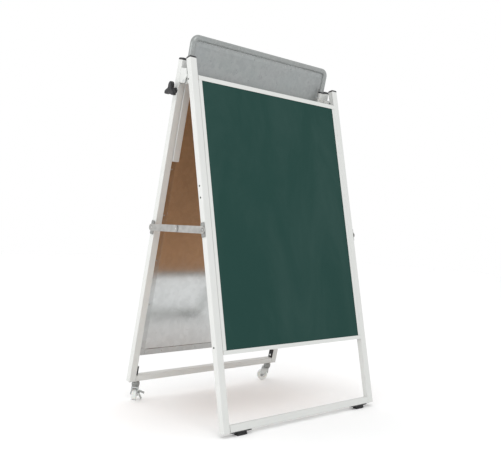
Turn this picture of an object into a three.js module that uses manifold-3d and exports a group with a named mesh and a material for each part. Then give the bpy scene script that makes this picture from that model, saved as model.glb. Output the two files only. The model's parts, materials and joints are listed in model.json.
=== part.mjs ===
// A-frame writing board: a chalk panel on a standing front frame, hinged near
// the post tops to a rear frame that carries a white panel, a raisable header
// and two braked swivel casters. Two folding stays hold the frames apart.
//
// Millimetres, +Z up. X runs from left to right as seen from the chalk panel,
// which faces -Y. The floor is Z = 0 and the origin is at the middle of the
// footprint's bounding box.
//
// Each frame is drawn upright in a group of its own, whose origin is the fold
// axis. In that group "depth" is the distance outward from the plane in which
// the two frames would meet, and the group is then leaned by LEAN.

import * as THREE from 'three';
import { mergeVertices } from 'three/addons/utils/BufferGeometryUtils.js';
import Module from 'manifold-3d';

const wasm = await Module();
wasm.setup();

// ---------------------------------------------------------------- dimensions

// Chalk panel, and the frame around it
const PANEL_WIDTH = 600;
const PANEL_HEIGHT = 808.5;
const SIDE_LIP = 13;
const TOP_LIP = 14.5;
const BOTTOM_LIP = 12;

// Square tube of both frames
const POST_WIDTH = 25;
const POST_DEPTH = 20;
const TUBE_WALL = 1.2;
const TUBE_CORNER = 2.2;
const RAIL_HEIGHT = 21;

// How the frames stand and fold
const LEAN = 11.8 * Math.PI / 180;
const HALF_GAP = 22;
const POST_TOP = 61.5;
const CAP_RIM = 2.5;
const CAP_RISE = 7;
const PANEL_TOP = -6.5;
const FRONT_FOOT = -1044;
const REAR_FOOT = -984;
const REAR_PANEL_FOOT = -898;

// Feet under the front frame
const FOOT_PLATE_LENGTH = 75;
const FOOT_PLATE_THICK = 3;
const FOOT_PAD_LENGTH = 37;
const FOOT_PAD_THICK = 7.9;
const FOOT_X = 267;

// Header
const HEADER_TUBE_RADIUS = 9.5;
const HEADER_LEG_X = 302.2;
const HEADER_TOP = 146;
const HEADER_BEND = 18;
const HEADER_LEG_FOOT = -236;
const HEADER_PANEL_FOOT = 12;
const HEADER_SHEET = 0.8;
const HEADER_HEM = 14;
const SLEEVE_WIDTH = 24;
const SLEEVE_DEPTH = 21.2;
const SLEEVE_NEAR = 19.5;
const SLEEVE_BORE = 9.75;
const SLEEVE_TOP = 59;
const SLEEVE_FOOT = -249;
const COLLAR_HEIGHT = 4.5;
const KNOB_HEIGHT = -33;

// Stays
const STAY_HEIGHT = -464;
const STAY_WIDTH = 22;
const STAY_THICK = 2;

// Casters
const CASTER_X = 304;
const WHEEL_RADIUS = 20;
const WHEEL_WIDTH = 17;
const CASTER_TRAIL = 12;
const CASTER_TURN = 40 * Math.PI / 180;

// Space left between neighbouring pieces
const GAP = 0.3;

// Worked out from the above
const INNER_HALF = PANEL_WIDTH / 2 + SIDE_LIP;
const OUTER_HALF = INNER_HALF + POST_WIDTH;
const POST_X = INNER_HALF + POST_WIDTH / 2;
const OUTER_DEPTH = HALF_GAP + POST_DEPTH;
const MID_DEPTH = HALF_GAP + POST_DEPTH / 2;
const PANEL_FOOT = PANEL_TOP - PANEL_HEIGHT;
const FOOT_DROP = FOOT_PLATE_THICK + GAP + FOOT_PAD_THICK;
const PIVOT_HEIGHT = (FOOT_DROP - FRONT_FOOT) * Math.cos(LEAN) - MID_DEPTH * Math.sin(LEAN);

// ----------------------------------------------------------------- materials

const finish = (color, roughness, metalness) => ({ color, roughness, metalness });
const WHITE_PAINT = finish(0xe6e8e4, 0.45, 0.0);
const CHALK_GREEN = finish(0x2c4b45, 0.75, 0.0);
const HARDBOARD = finish(0x7d5a40, 0.8, 0.0);
const WHITE_ENAMEL = finish(0xf2f3f1, 0.15, 0.0);
const GALVANISED = finish(0xa9adad, 0.35, 0.9);
const ZINC_PLATE = finish(0xb4b5b3, 0.35, 0.9);
const BLACK_PLASTIC = finish(0x1d1d1f, 0.5, 0.0);
const BLACK_RUBBER = finish(0x161617, 0.9, 0.0);
const GREY_NYLON = finish(0xc9cbc9, 0.5, 0.0);
const DARK_STEEL = finish(0x6c6f6d, 0.4, 0.8);

// ------------------------------------------------------------ shape helpers

// A closed mesh as a manifold solid, for cutting and joining.
function solidOf(geometry) {
  const bare = geometry.clone();
  bare.deleteAttribute('normal');
  bare.deleteAttribute('uv');
  const merged = mergeVertices(bare, 1e-4);
  return new wasm.Manifold(new wasm.Mesh({
    numProp: 3,
    vertProperties: new Float32Array(merged.attributes.position.array),
    triVerts: new Uint32Array(merged.index.array),
  }));
}

function geometryOf(solid) {
  const mesh = solid.getMesh();
  const geometry = new THREE.BufferGeometry();
  const count = mesh.vertProperties.length / mesh.numProp;
  const positions = new Float32Array(count * 3);
  for (let i = 0; i < count; i += 1) {
    for (let axis = 0; axis < 3; axis += 1) {
      positions[i * 3 + axis] = mesh.vertProperties[i * mesh.numProp + axis];
    }
  }
  geometry.setAttribute('position', new THREE.BufferAttribute(positions, 3));
  geometry.setIndex(new THREE.BufferAttribute(new Uint32Array(mesh.triVerts), 1));
  return geometry;
}

const join = (...parts) => geometryOf(parts.map(solidOf).reduce((a, b) => a.add(b)));
const cut = (base, ...tools) => geometryOf(tools.map(solidOf).reduce((a, b) => a.subtract(b), solidOf(base)));

function roundedRectangle(width, height, radius) {
  const [w, h] = [width / 2 - radius, height / 2 - radius];
  const shape = new THREE.Shape();
  shape.absarc(w, h, radius, 0, Math.PI / 2);
  shape.absarc(-w, h, radius, Math.PI / 2, Math.PI);
  shape.absarc(-w, -h, radius, Math.PI, 1.5 * Math.PI);
  shape.absarc(w, -h, radius, 1.5 * Math.PI, 2 * Math.PI);
  shape.closePath();
  return shape;
}

function polygon(points) {
  return new THREE.Shape(points.map(([a, b]) => new THREE.Vector2(a, b)));
}

function extrude(shape, length, curveSegments = 3) {
  return new THREE.ExtrudeGeometry(shape, { depth: length, bevelEnabled: false, curveSegments });
}

// A box between two corners.
function slab([x0, x1], [y0, y1], [z0, z1]) {
  const box = new THREE.BoxGeometry(x1 - x0, y1 - y0, z1 - z0);
  return box.translate((x0 + x1) / 2, (y0 + y1) / 2, (z0 + z1) / 2);
}

// A section drawn in X and Y, standing from z0 to z1.
function upright(shape, [z0, z1], curveSegments) {
  return extrude(shape, z1 - z0, curveSegments).translate(0, 0, z0);
}

// An outline drawn in Y and Z, spanning x0 to x1.
function across(shape, [x0, x1], curveSegments) {
  const turn = new THREE.Matrix4().makeBasis(
    new THREE.Vector3(0, 1, 0),
    new THREE.Vector3(0, 0, 1),
    new THREE.Vector3(1, 0, 0),
  );
  return extrude(shape, x1 - x0, curveSegments).applyMatrix4(turn).translate(x0, 0, 0);
}

function rodX(radius, [x0, x1], y, z, segments = 20) {
  const rod = new THREE.CylinderGeometry(radius, radius, x1 - x0, segments);
  return rod.rotateZ(Math.PI / 2).translate((x0 + x1) / 2, y, z);
}

// The span between two distances from the middle, on the left (-1) or right (+1).
const span = (side, near, far) => (side < 0 ? [-far, -near] : [near, far]);

// ------------------------------------------------------------ the assembly

const board = new THREE.Group();
const frontFrame = new THREE.Group();
const rearFrame = new THREE.Group();
const stays = new THREE.Group();
board.add(frontFrame, rearFrame, stays);
frontFrame.rotation.x = -LEAN;
rearFrame.rotation.x = LEAN;

// The sign that turns a depth into Y, in each frame.
const FRONT = -1;
const REAR = 1;
const SIDES = [['left', -1], ['right', 1]];

function addPiece(group, name, geometry, material) {
  const mesh = new THREE.Mesh(geometry, new THREE.MeshStandardMaterial(material));
  mesh.name = name;
  group.add(mesh);
  return mesh;
}

const depths = (facing, near, far) => (facing > 0 ? [near, far] : [-far, -near]);

function squareTube(width, depth) {
  const shape = roundedRectangle(width, depth, TUBE_CORNER);
  const inner = roundedRectangle(width - 2 * TUBE_WALL, depth - 2 * TUBE_WALL, TUBE_CORNER - TUBE_WALL);
  shape.holes.push(new THREE.Path(inner.getPoints(3)));
  return shape;
}

function postGeometry(side, facing, foot) {
  return upright(squareTube(POST_WIDTH, POST_DEPTH), [foot, POST_TOP])
    .translate(side * POST_X, facing * MID_DEPTH, 0);
}

// A tube along X that fits between the posts.
function railGeometry(facing, [z0, z1], halfLength) {
  const tube = extrude(squareTube(z1 - z0, POST_DEPTH), 2 * halfLength).rotateY(Math.PI / 2);
  return tube.translate(-halfLength, facing * MID_DEPTH, (z0 + z1) / 2);
}

// A plug in the open end of a post, under a rim and a pillow-shaped head.
function capGeometry(side, facing) {
  const [x, y] = [side * POST_X, facing * MID_DEPTH];
  const base = POST_TOP + GAP;
  const outline = roundedRectangle(POST_WIDTH, POST_DEPTH, TUBE_CORNER);
  const rim = upright(outline, [0, CAP_RIM], 3);
  const pillow = new THREE.SphereGeometry(1, 28, 18).scale(POST_WIDTH * 0.54, POST_DEPTH * 0.54, CAP_RISE);
  const head = solidOf(pillow).intersect(solidOf(upright(outline, [0.1, CAP_RISE + 1], 3)));
  const plugHalf = POST_WIDTH / 2 - TUBE_WALL - GAP;
  const plugDepth = POST_DEPTH / 2 - TUBE_WALL - GAP;
  const plug = slab([-plugHalf, plugHalf], [-plugDepth, plugDepth], [-9, 0.2]);
  return join(rim, geometryOf(head), plug).translate(x, y, base);
}

// ------------------------------------------------------------- front frame

// Sheet, backing and the channels that hold them
const CHANNEL_WALL = 1.2;
const SHEET_THICK = 0.5;
const HARDBOARD_THICK = 3;
const SHEET = [OUTER_DEPTH - CHANNEL_WALL - GAP - SHEET_THICK, OUTER_DEPTH - CHANNEL_WALL - GAP];
const BACKING = [SHEET[0] - GAP - HARDBOARD_THICK, SHEET[0] - GAP];
const CHANNEL_BACK = [BACKING[0] - GAP - CHANNEL_WALL, BACKING[0] - GAP];

// Channel section: a web against the frame, a lip over the sheet and one behind.
function channelSection(lip) {
  return [
    [0, HALF_GAP],
    [CHANNEL_WALL, HALF_GAP],
    [CHANNEL_WALL, CHANNEL_BACK[0]],
    [lip, CHANNEL_BACK[0]],
    [lip, CHANNEL_BACK[1]],
    [CHANNEL_WALL, CHANNEL_BACK[1]],
    [CHANNEL_WALL, OUTER_DEPTH - CHANNEL_WALL],
    [lip, OUTER_DEPTH - CHANNEL_WALL],
    [lip, OUTER_DEPTH],
    [0, OUTER_DEPTH],
  ];
}

function addFrontFrame() {
  const railHalf = INNER_HALF - GAP;
  for (const [name, side] of SIDES) {
    addPiece(frontFrame, `front_${name}_post`, postGeometry(side, FRONT, FRONT_FOOT), WHITE_PAINT);
    addPiece(frontFrame, `front_${name}_cap`, capGeometry(side, FRONT), BLACK_PLASTIC);
    const section = channelSection(SIDE_LIP - GAP)
      .map(([inward, depth]) => [side * (railHalf - inward), FRONT * depth]);
    const outline = side < 0 ? section.reverse() : section;
    const channel = upright(polygon(outline), [PANEL_FOOT + GAP, PANEL_TOP - GAP]);
    addPiece(frontFrame, `front_${name}_channel`, channel, WHITE_PAINT);
  }

  const railTop = PANEL_TOP + TOP_LIP;
  const railFoot = PANEL_FOOT - BOTTOM_LIP;
  const top = channelSection(TOP_LIP).map(([down, depth]) => [FRONT * depth, railTop - down]);
  const bottom = channelSection(BOTTOM_LIP).map(([up, depth]) => [FRONT * depth, railFoot + up]);
  addPiece(frontFrame, 'front_top_rail', across(polygon(top), [-railHalf, railHalf]), WHITE_PAINT);
  addPiece(frontFrame, 'front_bottom_rail', across(polygon(bottom), [-railHalf, railHalf]), WHITE_PAINT);
  const footRail = railGeometry(FRONT, [FRONT_FOOT, FRONT_FOOT + RAIL_HEIGHT], railHalf);
  addPiece(frontFrame, 'front_foot_rail', footRail, WHITE_PAINT);

  const panelHalf = railHalf - CHANNEL_WALL - GAP;
  const panelHeight = [railFoot + CHANNEL_WALL + GAP, railTop - CHANNEL_WALL - GAP];
  const chalk = slab([-panelHalf, panelHalf], depths(FRONT, ...SHEET), panelHeight);
  const backing = slab([-panelHalf, panelHalf], depths(FRONT, ...BACKING), panelHeight);
  addPiece(frontFrame, 'chalkboard_sheet', chalk, CHALK_GREEN);
  addPiece(frontFrame, 'hardboard_backing', backing, HARDBOARD);
}

// A black plate under the rail, and a rubber pad cut to lie flat on the floor.
function addFeet() {
  const plateFoot = FRONT_FOOT - GAP - FOOT_PLATE_THICK;
  const padTop = plateFoot - GAP;
  const floorAt = (depth) => (-PIVOT_HEIGHT - depth * Math.sin(LEAN)) / Math.cos(LEAN);
  for (const [name, side] of SIDES) {
    const x = side * FOOT_X;
    const plate = roundedRectangle(FOOT_PLATE_LENGTH, POST_DEPTH - 2, 3);
    const plateGeometry = upright(plate, [plateFoot, FRONT_FOOT - GAP], 4).translate(x, FRONT * MID_DEPTH, 0);
    addPiece(frontFrame, `${name}_foot_plate`, plateGeometry, BLACK_PLASTIC);
    const [near, far] = [MID_DEPTH - 8, MID_DEPTH + 8];
    const pad = polygon([
      [FRONT * near, padTop],
      [FRONT * far, padTop],
      [FRONT * far, floorAt(far)],
      [FRONT * near, floorAt(near)],
    ]);
    const padSpan = [x - FOOT_PAD_LENGTH / 2, x + FOOT_PAD_LENGTH / 2];
    addPiece(frontFrame, `${name}_foot_pad`, across(pad, padSpan), BLACK_RUBBER);
  }
}

// -------------------------------------------------------------- rear frame

const SLEEVE_X = INNER_HALF - GAP - SLEEVE_WIDTH / 2;
const SLEEVE_MID = SLEEVE_NEAR + SLEEVE_DEPTH / 2;
const REAR_INNER_HALF = INNER_HALF - GAP - SLEEVE_WIDTH - GAP;
const REAR_SHEET_NEAR = SLEEVE_NEAR + SLEEVE_DEPTH + GAP;
const REAR_SHEET = [REAR_SHEET_NEAR, REAR_SHEET_NEAR + 0.6];
const REAR_BACKING = [HALF_GAP + 14, HALF_GAP + 14.5];
const REAR_HEM = 20;
const FOLD_WALL = 1.2;
const STUD_RADIUS = 3;
const STUD_HOLE = 3.5;

// Bumper block on each rear post
const BUMPER_THICK = 3.5;
const BUMPER_HEIGHT = 32;

// Folded channel: a web facing the front frame and two flanges to the white sheet.
function foldedSection([a, b], depth) {
  const rear = REAR_SHEET[0] - GAP;
  return [
    [a, depth],
    [b, depth],
    [b, rear],
    [b - FOLD_WALL, rear],
    [b - FOLD_WALL, depth + FOLD_WALL],
    [a + FOLD_WALL, depth + FOLD_WALL],
    [a + FOLD_WALL, rear],
    [a, rear],
  ];
}

function addRearFrame() {
  const railHalf = INNER_HALF - GAP;
  for (const [name, side] of SIDES) {
    const studHole = rodX(STUD_HOLE, span(side, INNER_HALF - 5, OUTER_HALF + 5), SLEEVE_MID, KNOB_HEIGHT);
    const post = cut(postGeometry(side, REAR, REAR_FOOT), studHole);
    addPiece(rearFrame, `rear_${name}_post`, post, WHITE_PAINT);
    addPiece(rearFrame, `rear_${name}_cap`, capGeometry(side, REAR), BLACK_PLASTIC);

    // Hem channel beside the backing sheet, below the header sleeve
    const hem = span(side, REAR_INNER_HALF + GAP, railHalf);
    const hemHeight = [REAR_PANEL_FOOT, SLEEVE_FOOT - GAP];
    const channel = upright(polygon(foldedSection(hem, REAR_BACKING[0] - 2)), hemHeight);
    addPiece(rearFrame, `rear_${name}_channel`, channel, GALVANISED);

    // Screwed bumper block where the foot rail meets the post
    const blockFoot = REAR_FOOT + RAIL_HEIGHT + GAP;
    const block = slab(
      span(side, railHalf - BUMPER_THICK, railHalf),
      [HALF_GAP - 1, OUTER_DEPTH - 2],
      [blockFoot, blockFoot + BUMPER_HEIGHT],
    );
    addPiece(rearFrame, `rear_${name}_bumper`, block, BLACK_PLASTIC);
  }

  const railAcross = (height, depth) => {
    const section = foldedSection(height, depth).map(([z, y]) => [y, z]).reverse();
    return across(polygon(section), [-REAR_INNER_HALF, REAR_INNER_HALF]);
  };
  const topRail = railAcross([PANEL_TOP, PANEL_TOP + TOP_LIP], HALF_GAP);
  addPiece(rearFrame, 'rear_top_rail', topRail, WHITE_PAINT);
  const bottomRail = railAcross([REAR_PANEL_FOOT, REAR_PANEL_FOOT + REAR_HEM], REAR_BACKING[0] - 2);
  addPiece(rearFrame, 'rear_bottom_channel', bottomRail, GALVANISED);
  const footRail = railGeometry(REAR, [REAR_FOOT, REAR_FOOT + RAIL_HEIGHT], railHalf);
  addPiece(rearFrame, 'rear_foot_rail', footRail, WHITE_PAINT);

  const sheetHeight = [REAR_PANEL_FOOT, PANEL_TOP + TOP_LIP];
  addPiece(rearFrame, 'whiteboard_sheet', slab([-railHalf, railHalf], REAR_SHEET, sheetHeight), WHITE_ENAMEL);
  const backing = slab(
    [-REAR_INNER_HALF, REAR_INNER_HALF],
    REAR_BACKING,
    [REAR_PANEL_FOOT + REAR_HEM + GAP, PANEL_TOP - GAP],
  );
  addPiece(rearFrame, 'rear_backing_sheet', backing, GALVANISED);
}

// ------------------------------------------------------------------ header

function addHeader() {
  for (const [name, side] of SIDES) {
    const bore = new THREE.CylinderGeometry(SLEEVE_BORE, SLEEVE_BORE, 400, 40)
      .rotateX(Math.PI / 2)
      .translate(side * HEADER_LEG_X, SLEEVE_MID, -100);
    const studHole = rodX(STUD_HOLE, span(side, HEADER_LEG_X, OUTER_HALF), SLEEVE_MID, KNOB_HEIGHT);
    const section = roundedRectangle(SLEEVE_WIDTH, SLEEVE_DEPTH, 1.5);
    const sleeveBody = upright(section, [SLEEVE_FOOT, SLEEVE_TOP]).translate(side * SLEEVE_X, SLEEVE_MID, 0);
    addPiece(rearFrame, `${name}_header_sleeve`, cut(sleeveBody, bore, studHole), WHITE_PAINT);
    const collarBody = upright(section, [SLEEVE_TOP + GAP, SLEEVE_TOP + COLLAR_HEIGHT])
      .translate(side * SLEEVE_X, SLEEVE_MID, 0);
    addPiece(rearFrame, `${name}_sleeve_collar`, cut(collarBody, bore), BLACK_PLASTIC);
    addPiece(rearFrame, `${name}_header_knob`, knobGeometry(side), BLACK_PLASTIC);
  }

  // Bent tube: two legs, two bends and the crossbar
  const top = HEADER_TOP - HEADER_TUBE_RADIUS;
  const bendX = HEADER_LEG_X - HEADER_BEND;
  const bendZ = top - HEADER_BEND;
  const point = (x, z) => new THREE.Vector3(x, SLEEVE_MID, z);
  const bendSteps = 6;
  const bend = (side, from, to) => {
    const angles = Array.from({ length: bendSteps + 1 }, (_, i) => from + (to - from) * i / bendSteps);
    return angles.map((angle) => (
      point(side * bendX + HEADER_BEND * Math.cos(angle), bendZ + HEADER_BEND * Math.sin(angle))
    ));
  };
  const points = [
    point(-HEADER_LEG_X, HEADER_LEG_FOOT),
    ...bend(-1, Math.PI, Math.PI / 2),
    ...bend(1, Math.PI / 2, 0),
    point(HEADER_LEG_X, HEADER_LEG_FOOT),
  ];
  const hollow = points.map((p) => p.clone());
  hollow[0].z -= 1;
  hollow[hollow.length - 1].z -= 1;
  const tube = cut(sweep(points, HEADER_TUBE_RADIUS, 20), sweep(hollow, HEADER_TUBE_RADIUS - TUBE_WALL, 12));
  addPiece(rearFrame, 'header_tube', tube, GALVANISED);

  // Sheet inside the tube, with a raised hem at its sides and top
  const half = HEADER_LEG_X - HEADER_TUBE_RADIUS - GAP;
  const sheetTop = top - HEADER_TUBE_RADIUS - GAP;
  const corner = HEADER_BEND - HEADER_TUBE_RADIUS;
  const outline = panelOutline(half, sheetTop, HEADER_PANEL_FOOT, corner);
  const [near, far] = [SLEEVE_MID - HEADER_SHEET / 2, SLEEVE_MID + HEADER_SHEET / 2];
  const sheet = facingFront(outline, [near, far]);
  const raised = facingFront(outline, [near - HEADER_SHEET, near + 0.1]);
  const field = panelOutline(half - HEADER_HEM, sheetTop - HEADER_HEM, HEADER_PANEL_FOOT - 1, corner / 2);
  const hem = cut(raised, facingFront(field, [near - 2 * HEADER_SHEET, near + 0.2]));
  addPiece(rearFrame, 'header_panel', join(sheet, hem), GALVANISED);
}

// A round bar through points that lie in one plane facing Y.
function sweep(points, radius, sides) {
  const positions = [];
  const index = [];
  points.forEach((p, i) => {
    const before = points[Math.max(i - 1, 0)];
    const after = points[Math.min(i + 1, points.length - 1)];
    const into = p.clone().sub(before).normalize();
    const out = after.clone().sub(p).normalize();
    const isEnd = i === 0 || i === points.length - 1;
    const along = into.clone().add(out).normalize();
    const stretch = isEnd ? 1 : 1 / along.dot(into);
    const across3 = new THREE.Vector3(along.z, 0, -along.x).multiplyScalar(stretch);
    for (let s = 0; s < sides; s += 1) {
      const angle = 2 * Math.PI * s / sides;
      const q = p.clone().addScaledVector(across3, radius * Math.cos(angle));
      positions.push(q.x, q.y + radius * Math.sin(angle), q.z);
    }
  });
  for (let i = 0; i + 1 < points.length; i += 1) {
    for (let s = 0; s < sides; s += 1) {
      const a = i * sides + s;
      const b = i * sides + (s + 1) % sides;
      index.push(a, b, b + sides, a, b + sides, a + sides);
    }
  }
  const last = (points.length - 1) * sides;
  for (let s = 1; s + 1 < sides; s += 1) {
    index.push(0, s + 1, s, last, last + s, last + s + 1);
  }
  const geometry = new THREE.BufferGeometry();
  geometry.setAttribute('position', new THREE.Float32BufferAttribute(positions, 3));
  geometry.setIndex(index);
  return geometry;
}

// A sheet outline in X and Z, its two upper corners rounded and its two lower
// ones notched to clear the sleeves.
function panelOutline(half, top, foot, corner) {
  const notch = Math.min(half, REAR_INNER_HALF);
  const notchTop = SLEEVE_TOP + COLLAR_HEIGHT + 1;
  const shape = new THREE.Shape();
  shape.moveTo(notch, foot);
  if (half > notch) {
    shape.lineTo(notch, notchTop);
    shape.lineTo(half, notchTop);
  }
  shape.absarc(half - corner, top - corner, corner, 0, Math.PI / 2);
  shape.absarc(-half + corner, top - corner, corner, Math.PI / 2, Math.PI);
  if (half > notch) {
    shape.lineTo(-half, notchTop);
    shape.lineTo(-notch, notchTop);
  }
  shape.lineTo(-notch, foot);
  shape.closePath();
  return shape;
}

// An outline drawn in X and Z, between two depths of the rear frame.
function facingFront(shape, [y0, y1]) {
  return extrude(shape, y1 - y0, 6).rotateX(Math.PI / 2).translate(0, y1, 0);
}

// Clamping knob with three arms and hollow flanks, on a threaded stud.
function knobGeometry(side) {
  const lobes = 3;
  const lobeCentre = 19;
  const lobeRadius = 6.3;
  const wrap = 1.7;
  const waist = 10;
  const at = (radius, angle) => [
    SLEEVE_MID + radius * Math.cos(angle),
    KNOB_HEIGHT + radius * Math.sin(angle),
  ];
  const lobed = new THREE.Shape();
  for (let i = 0; i < lobes; i += 1) {
    const angle = Math.PI / 2 + 2 * Math.PI * i / lobes;
    lobed.absarc(...at(lobeCentre, angle), lobeRadius, angle - wrap, angle + wrap);
    lobed.lineTo(...at(waist, angle + Math.PI / lobes));
  }
  lobed.closePath();
  const face = OUTER_HALF + GAP;
  const head = across(lobed, span(side, face + 12, face + 27), 6);
  const hub = rodX(9, span(side, face, face + 13), SLEEVE_MID, KNOB_HEIGHT, 24);
  const studTip = HEADER_LEG_X + HEADER_TUBE_RADIUS + GAP;
  const stud = rodX(STUD_RADIUS, span(side, studTip, face + 1), SLEEVE_MID, KNOB_HEIGHT, 16);
  return join(head, hub, stud);
}

// ------------------------------------------------------------------- hinge

const HINGE_PIN_RADIUS = 2.5;
const HINGE_HEAD_RADIUS = 4;
const HINGE_EYE = 7;
const HINGE_BASE = 2;
const HINGE_PLATE_HALF = 11.6;
const HINGE_FOOT = -15;
const HINGE_CREST = 38;
const TONGUE_HALF = 4;
const EAR = [9, 11.6];
const EAR_LEAN = Math.PI / 3;

// Corners of an ear's upper edge: how far each lies beyond the fold axis, and its height.
const EAR_WING = [[12, 16], [4.8, HINGE_CREST]];
const TONGUE_WING = [[-10.7, -HINGE_FOOT]];

// An ear from a base plate on the post's inner face to the fold axis.
function hingeEar(facing, xSpan, lean, wing, crest) {
  const ear = new THREE.Shape();
  const base = facing * (HALF_GAP - GAP - HINGE_BASE / 2);
  ear.moveTo(base, -HINGE_EYE);
  ear.absarc(0, 0, HINGE_EYE, -Math.PI / 2, Math.PI / 2 + facing * lean, facing > 0);
  for (const [reach, height] of wing) {
    ear.lineTo(-facing * reach, height);
  }
  ear.lineTo(base, crest);
  ear.closePath();
  return across(ear, xSpan, 8);
}

function addHinges() {
  const plate = (x, facing, crest) => slab(
    [x - HINGE_PLATE_HALF, x + HINGE_PLATE_HALF],
    depths(facing, HALF_GAP - GAP - HINGE_BASE, HALF_GAP - GAP),
    [HINGE_FOOT, crest],
  );
  for (const [name, side] of SIDES) {
    const x = side * POST_X;
    const hole = rodX(HINGE_PIN_RADIUS + GAP, [x - 20, x + 20], 0, 0);
    const middle = [x - TONGUE_HALF, x + TONGUE_HALF];
    const tongue = hingeEar(FRONT, middle, 0, TONGUE_WING, -HINGE_FOOT);
    const frontLug = cut(join(plate(x, FRONT, -HINGE_FOOT), tongue), hole);
    addPiece(frontFrame, `front_${name}_hinge_lug`, frontLug, WHITE_PAINT);
    const nearX = (distance) => x + distance;
    const ears = [-1, 1].map((way) => (
      hingeEar(REAR, span(way, ...EAR).map(nearX), EAR_LEAN, EAR_WING, HINGE_CREST)
    ));
    const rearLug = cut(join(plate(x, REAR, HINGE_CREST), ...ears), hole);
    addPiece(rearFrame, `rear_${name}_hinge_lug`, rearLug, WHITE_PAINT);
    const heads = [-1, 1].map((way) => (
      rodX(HINGE_HEAD_RADIUS, span(way, EAR[1] + GAP, EAR[1] + 1.8).map(nearX), 0, 0)
    ));
    const shank = rodX(HINGE_PIN_RADIUS, [x - EAR[1] - 1, x + EAR[1] + 1], 0, 0);
    addPiece(frontFrame, `${name}_hinge_pin`, join(shank, ...heads), DARK_STEEL);
  }
}

// ------------------------------------------------------------------- stays

// Distances outward from the posts' outer faces
const BRACKET_PLATE = [GAP, 2 + GAP];
const FRONT_LINK = [BRACKET_PLATE[1] + 0.7, BRACKET_PLATE[1] + 0.7 + STAY_THICK];
const REAR_LINK = [FRONT_LINK[1] + 0.4, FRONT_LINK[1] + 0.4 + STAY_THICK];
const PIN_RADIUS = 3.5;

// A flat bar with round ends, from y0 to y1.
function barOutline(y0, y1, z, width) {
  const half = width / 2;
  const bar = new THREE.Shape();
  bar.absarc(y1, z, half, -Math.PI / 2, Math.PI / 2);
  bar.absarc(y0, z, half, Math.PI / 2, 1.5 * Math.PI);
  bar.closePath();
  return bar;
}

function addStays() {
  const pinY = -STAY_HEIGHT * Math.sin(LEAN) + MID_DEPTH * Math.cos(LEAN);
  const pinZ = STAY_HEIGHT * Math.cos(LEAN) + MID_DEPTH * Math.sin(LEAN);
  const out = (side, [near, far]) => span(side, OUTER_HALF + near, OUTER_HALF + far);
  for (const [name, side] of SIDES) {
    const plate = (facing) => {
      const outline = roundedRectangle(POST_DEPTH - 3, 44, 3);
      return across(outline, out(side, BRACKET_PLATE), 4).translate(0, facing * MID_DEPTH, STAY_HEIGHT);
    };
    const boss = (facing, radius, reach) => rodX(radius, out(side, reach), facing * MID_DEPTH, STAY_HEIGHT);

    const frontBracket = join(
      plate(FRONT),
      boss(FRONT, PIN_RADIUS, [1, REAR_LINK[0] + 0.2]),
      boss(FRONT, PIN_RADIUS + 2.5, [REAR_LINK[0], REAR_LINK[1]]),
    );
    addPiece(frontFrame, `${name}_front_stay_bracket`, frontBracket, ZINC_PLATE);
    const rearBracket = join(plate(REAR), boss(REAR, PIN_RADIUS + 1.5, [1, FRONT_LINK[1] + 0.1]));
    addPiece(rearFrame, `${name}_rear_stay_bracket`, rearBracket, ZINC_PLATE);

    const frontBar = across(barOutline(-pinY, 0, pinZ, STAY_WIDTH), out(side, FRONT_LINK), 8);
    const frontHole = rodX(PIN_RADIUS + GAP, out(side, [0, 12]), -pinY, pinZ);
    const midRivet = join(
      rodX(PIN_RADIUS, out(side, [FRONT_LINK[0] + 0.5, REAR_LINK[1] + 1]), 0, pinZ),
      rodX(PIN_RADIUS + 2.5, out(side, [REAR_LINK[1] + GAP, REAR_LINK[1] + 2]), 0, pinZ),
    );
    addPiece(stays, `${name}_front_stay_link`, join(cut(frontBar, frontHole), midRivet), ZINC_PLATE);

    const rearBar = across(barOutline(0, pinY, pinZ, STAY_WIDTH), out(side, REAR_LINK), 8);
    const midHole = rodX(PIN_RADIUS + GAP, out(side, [0, 12]), 0, pinZ);
    const endRivet = rodX(PIN_RADIUS + 2.5, out(side, [REAR_LINK[1] - 0.5, REAR_LINK[1] + 1.7]), pinY, pinZ);
    addPiece(stays, `${name}_rear_stay_link`, join(cut(rearBar, midHole), endRivet), ZINC_PLATE);
  }
}

// ----------------------------------------------------------------- casters

// Drawn about the swivel axis with the rail's underside at z = 0, the wheel
// trailing towards +Y and the brake rocker on the +X side.
const AXLE_DEPTH = MID_DEPTH + CASTER_TRAIL * Math.cos(CASTER_TURN);
const WHEEL_TILT = Math.asin(Math.sin(CASTER_TURN) * Math.sin(LEAN));
const TREAD_HALF = WHEEL_WIDTH / 2 - 2;
const AXLE_LIFT = WHEEL_RADIUS * Math.cos(WHEEL_TILT) + TREAD_HALF * Math.sin(WHEEL_TILT);
const AXLE_Z = (AXLE_LIFT - PIVOT_HEIGHT - AXLE_DEPTH * Math.sin(LEAN)) / Math.cos(LEAN) - REAR_FOOT;
const FORK_INNER = WHEEL_WIDTH / 2 + 1.2;
const FORK_WALL = 1.8;
const CROWN_FOOT = -24;
const AXLE_RADIUS = 3;
const ROCKER_X = FORK_INNER + FORK_WALL + 4;
const ROCKER_Z = -43;
const ROCKER_HALF = 7;
const ROCKER_PIN = 1.5;

function lathe(profile, segments) {
  const points = profile.map(([radius, height]) => new THREE.Vector2(radius, height));
  return new THREE.LatheGeometry(points, segments).rotateX(Math.PI / 2);
}

function mountGeometry() {
  const profile = [[0, -2.6], [11, -2.6], [11, -GAP], [4, -GAP], [4, -0.1], [0, -0.1]];
  return lathe(profile, 24);
}

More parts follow.
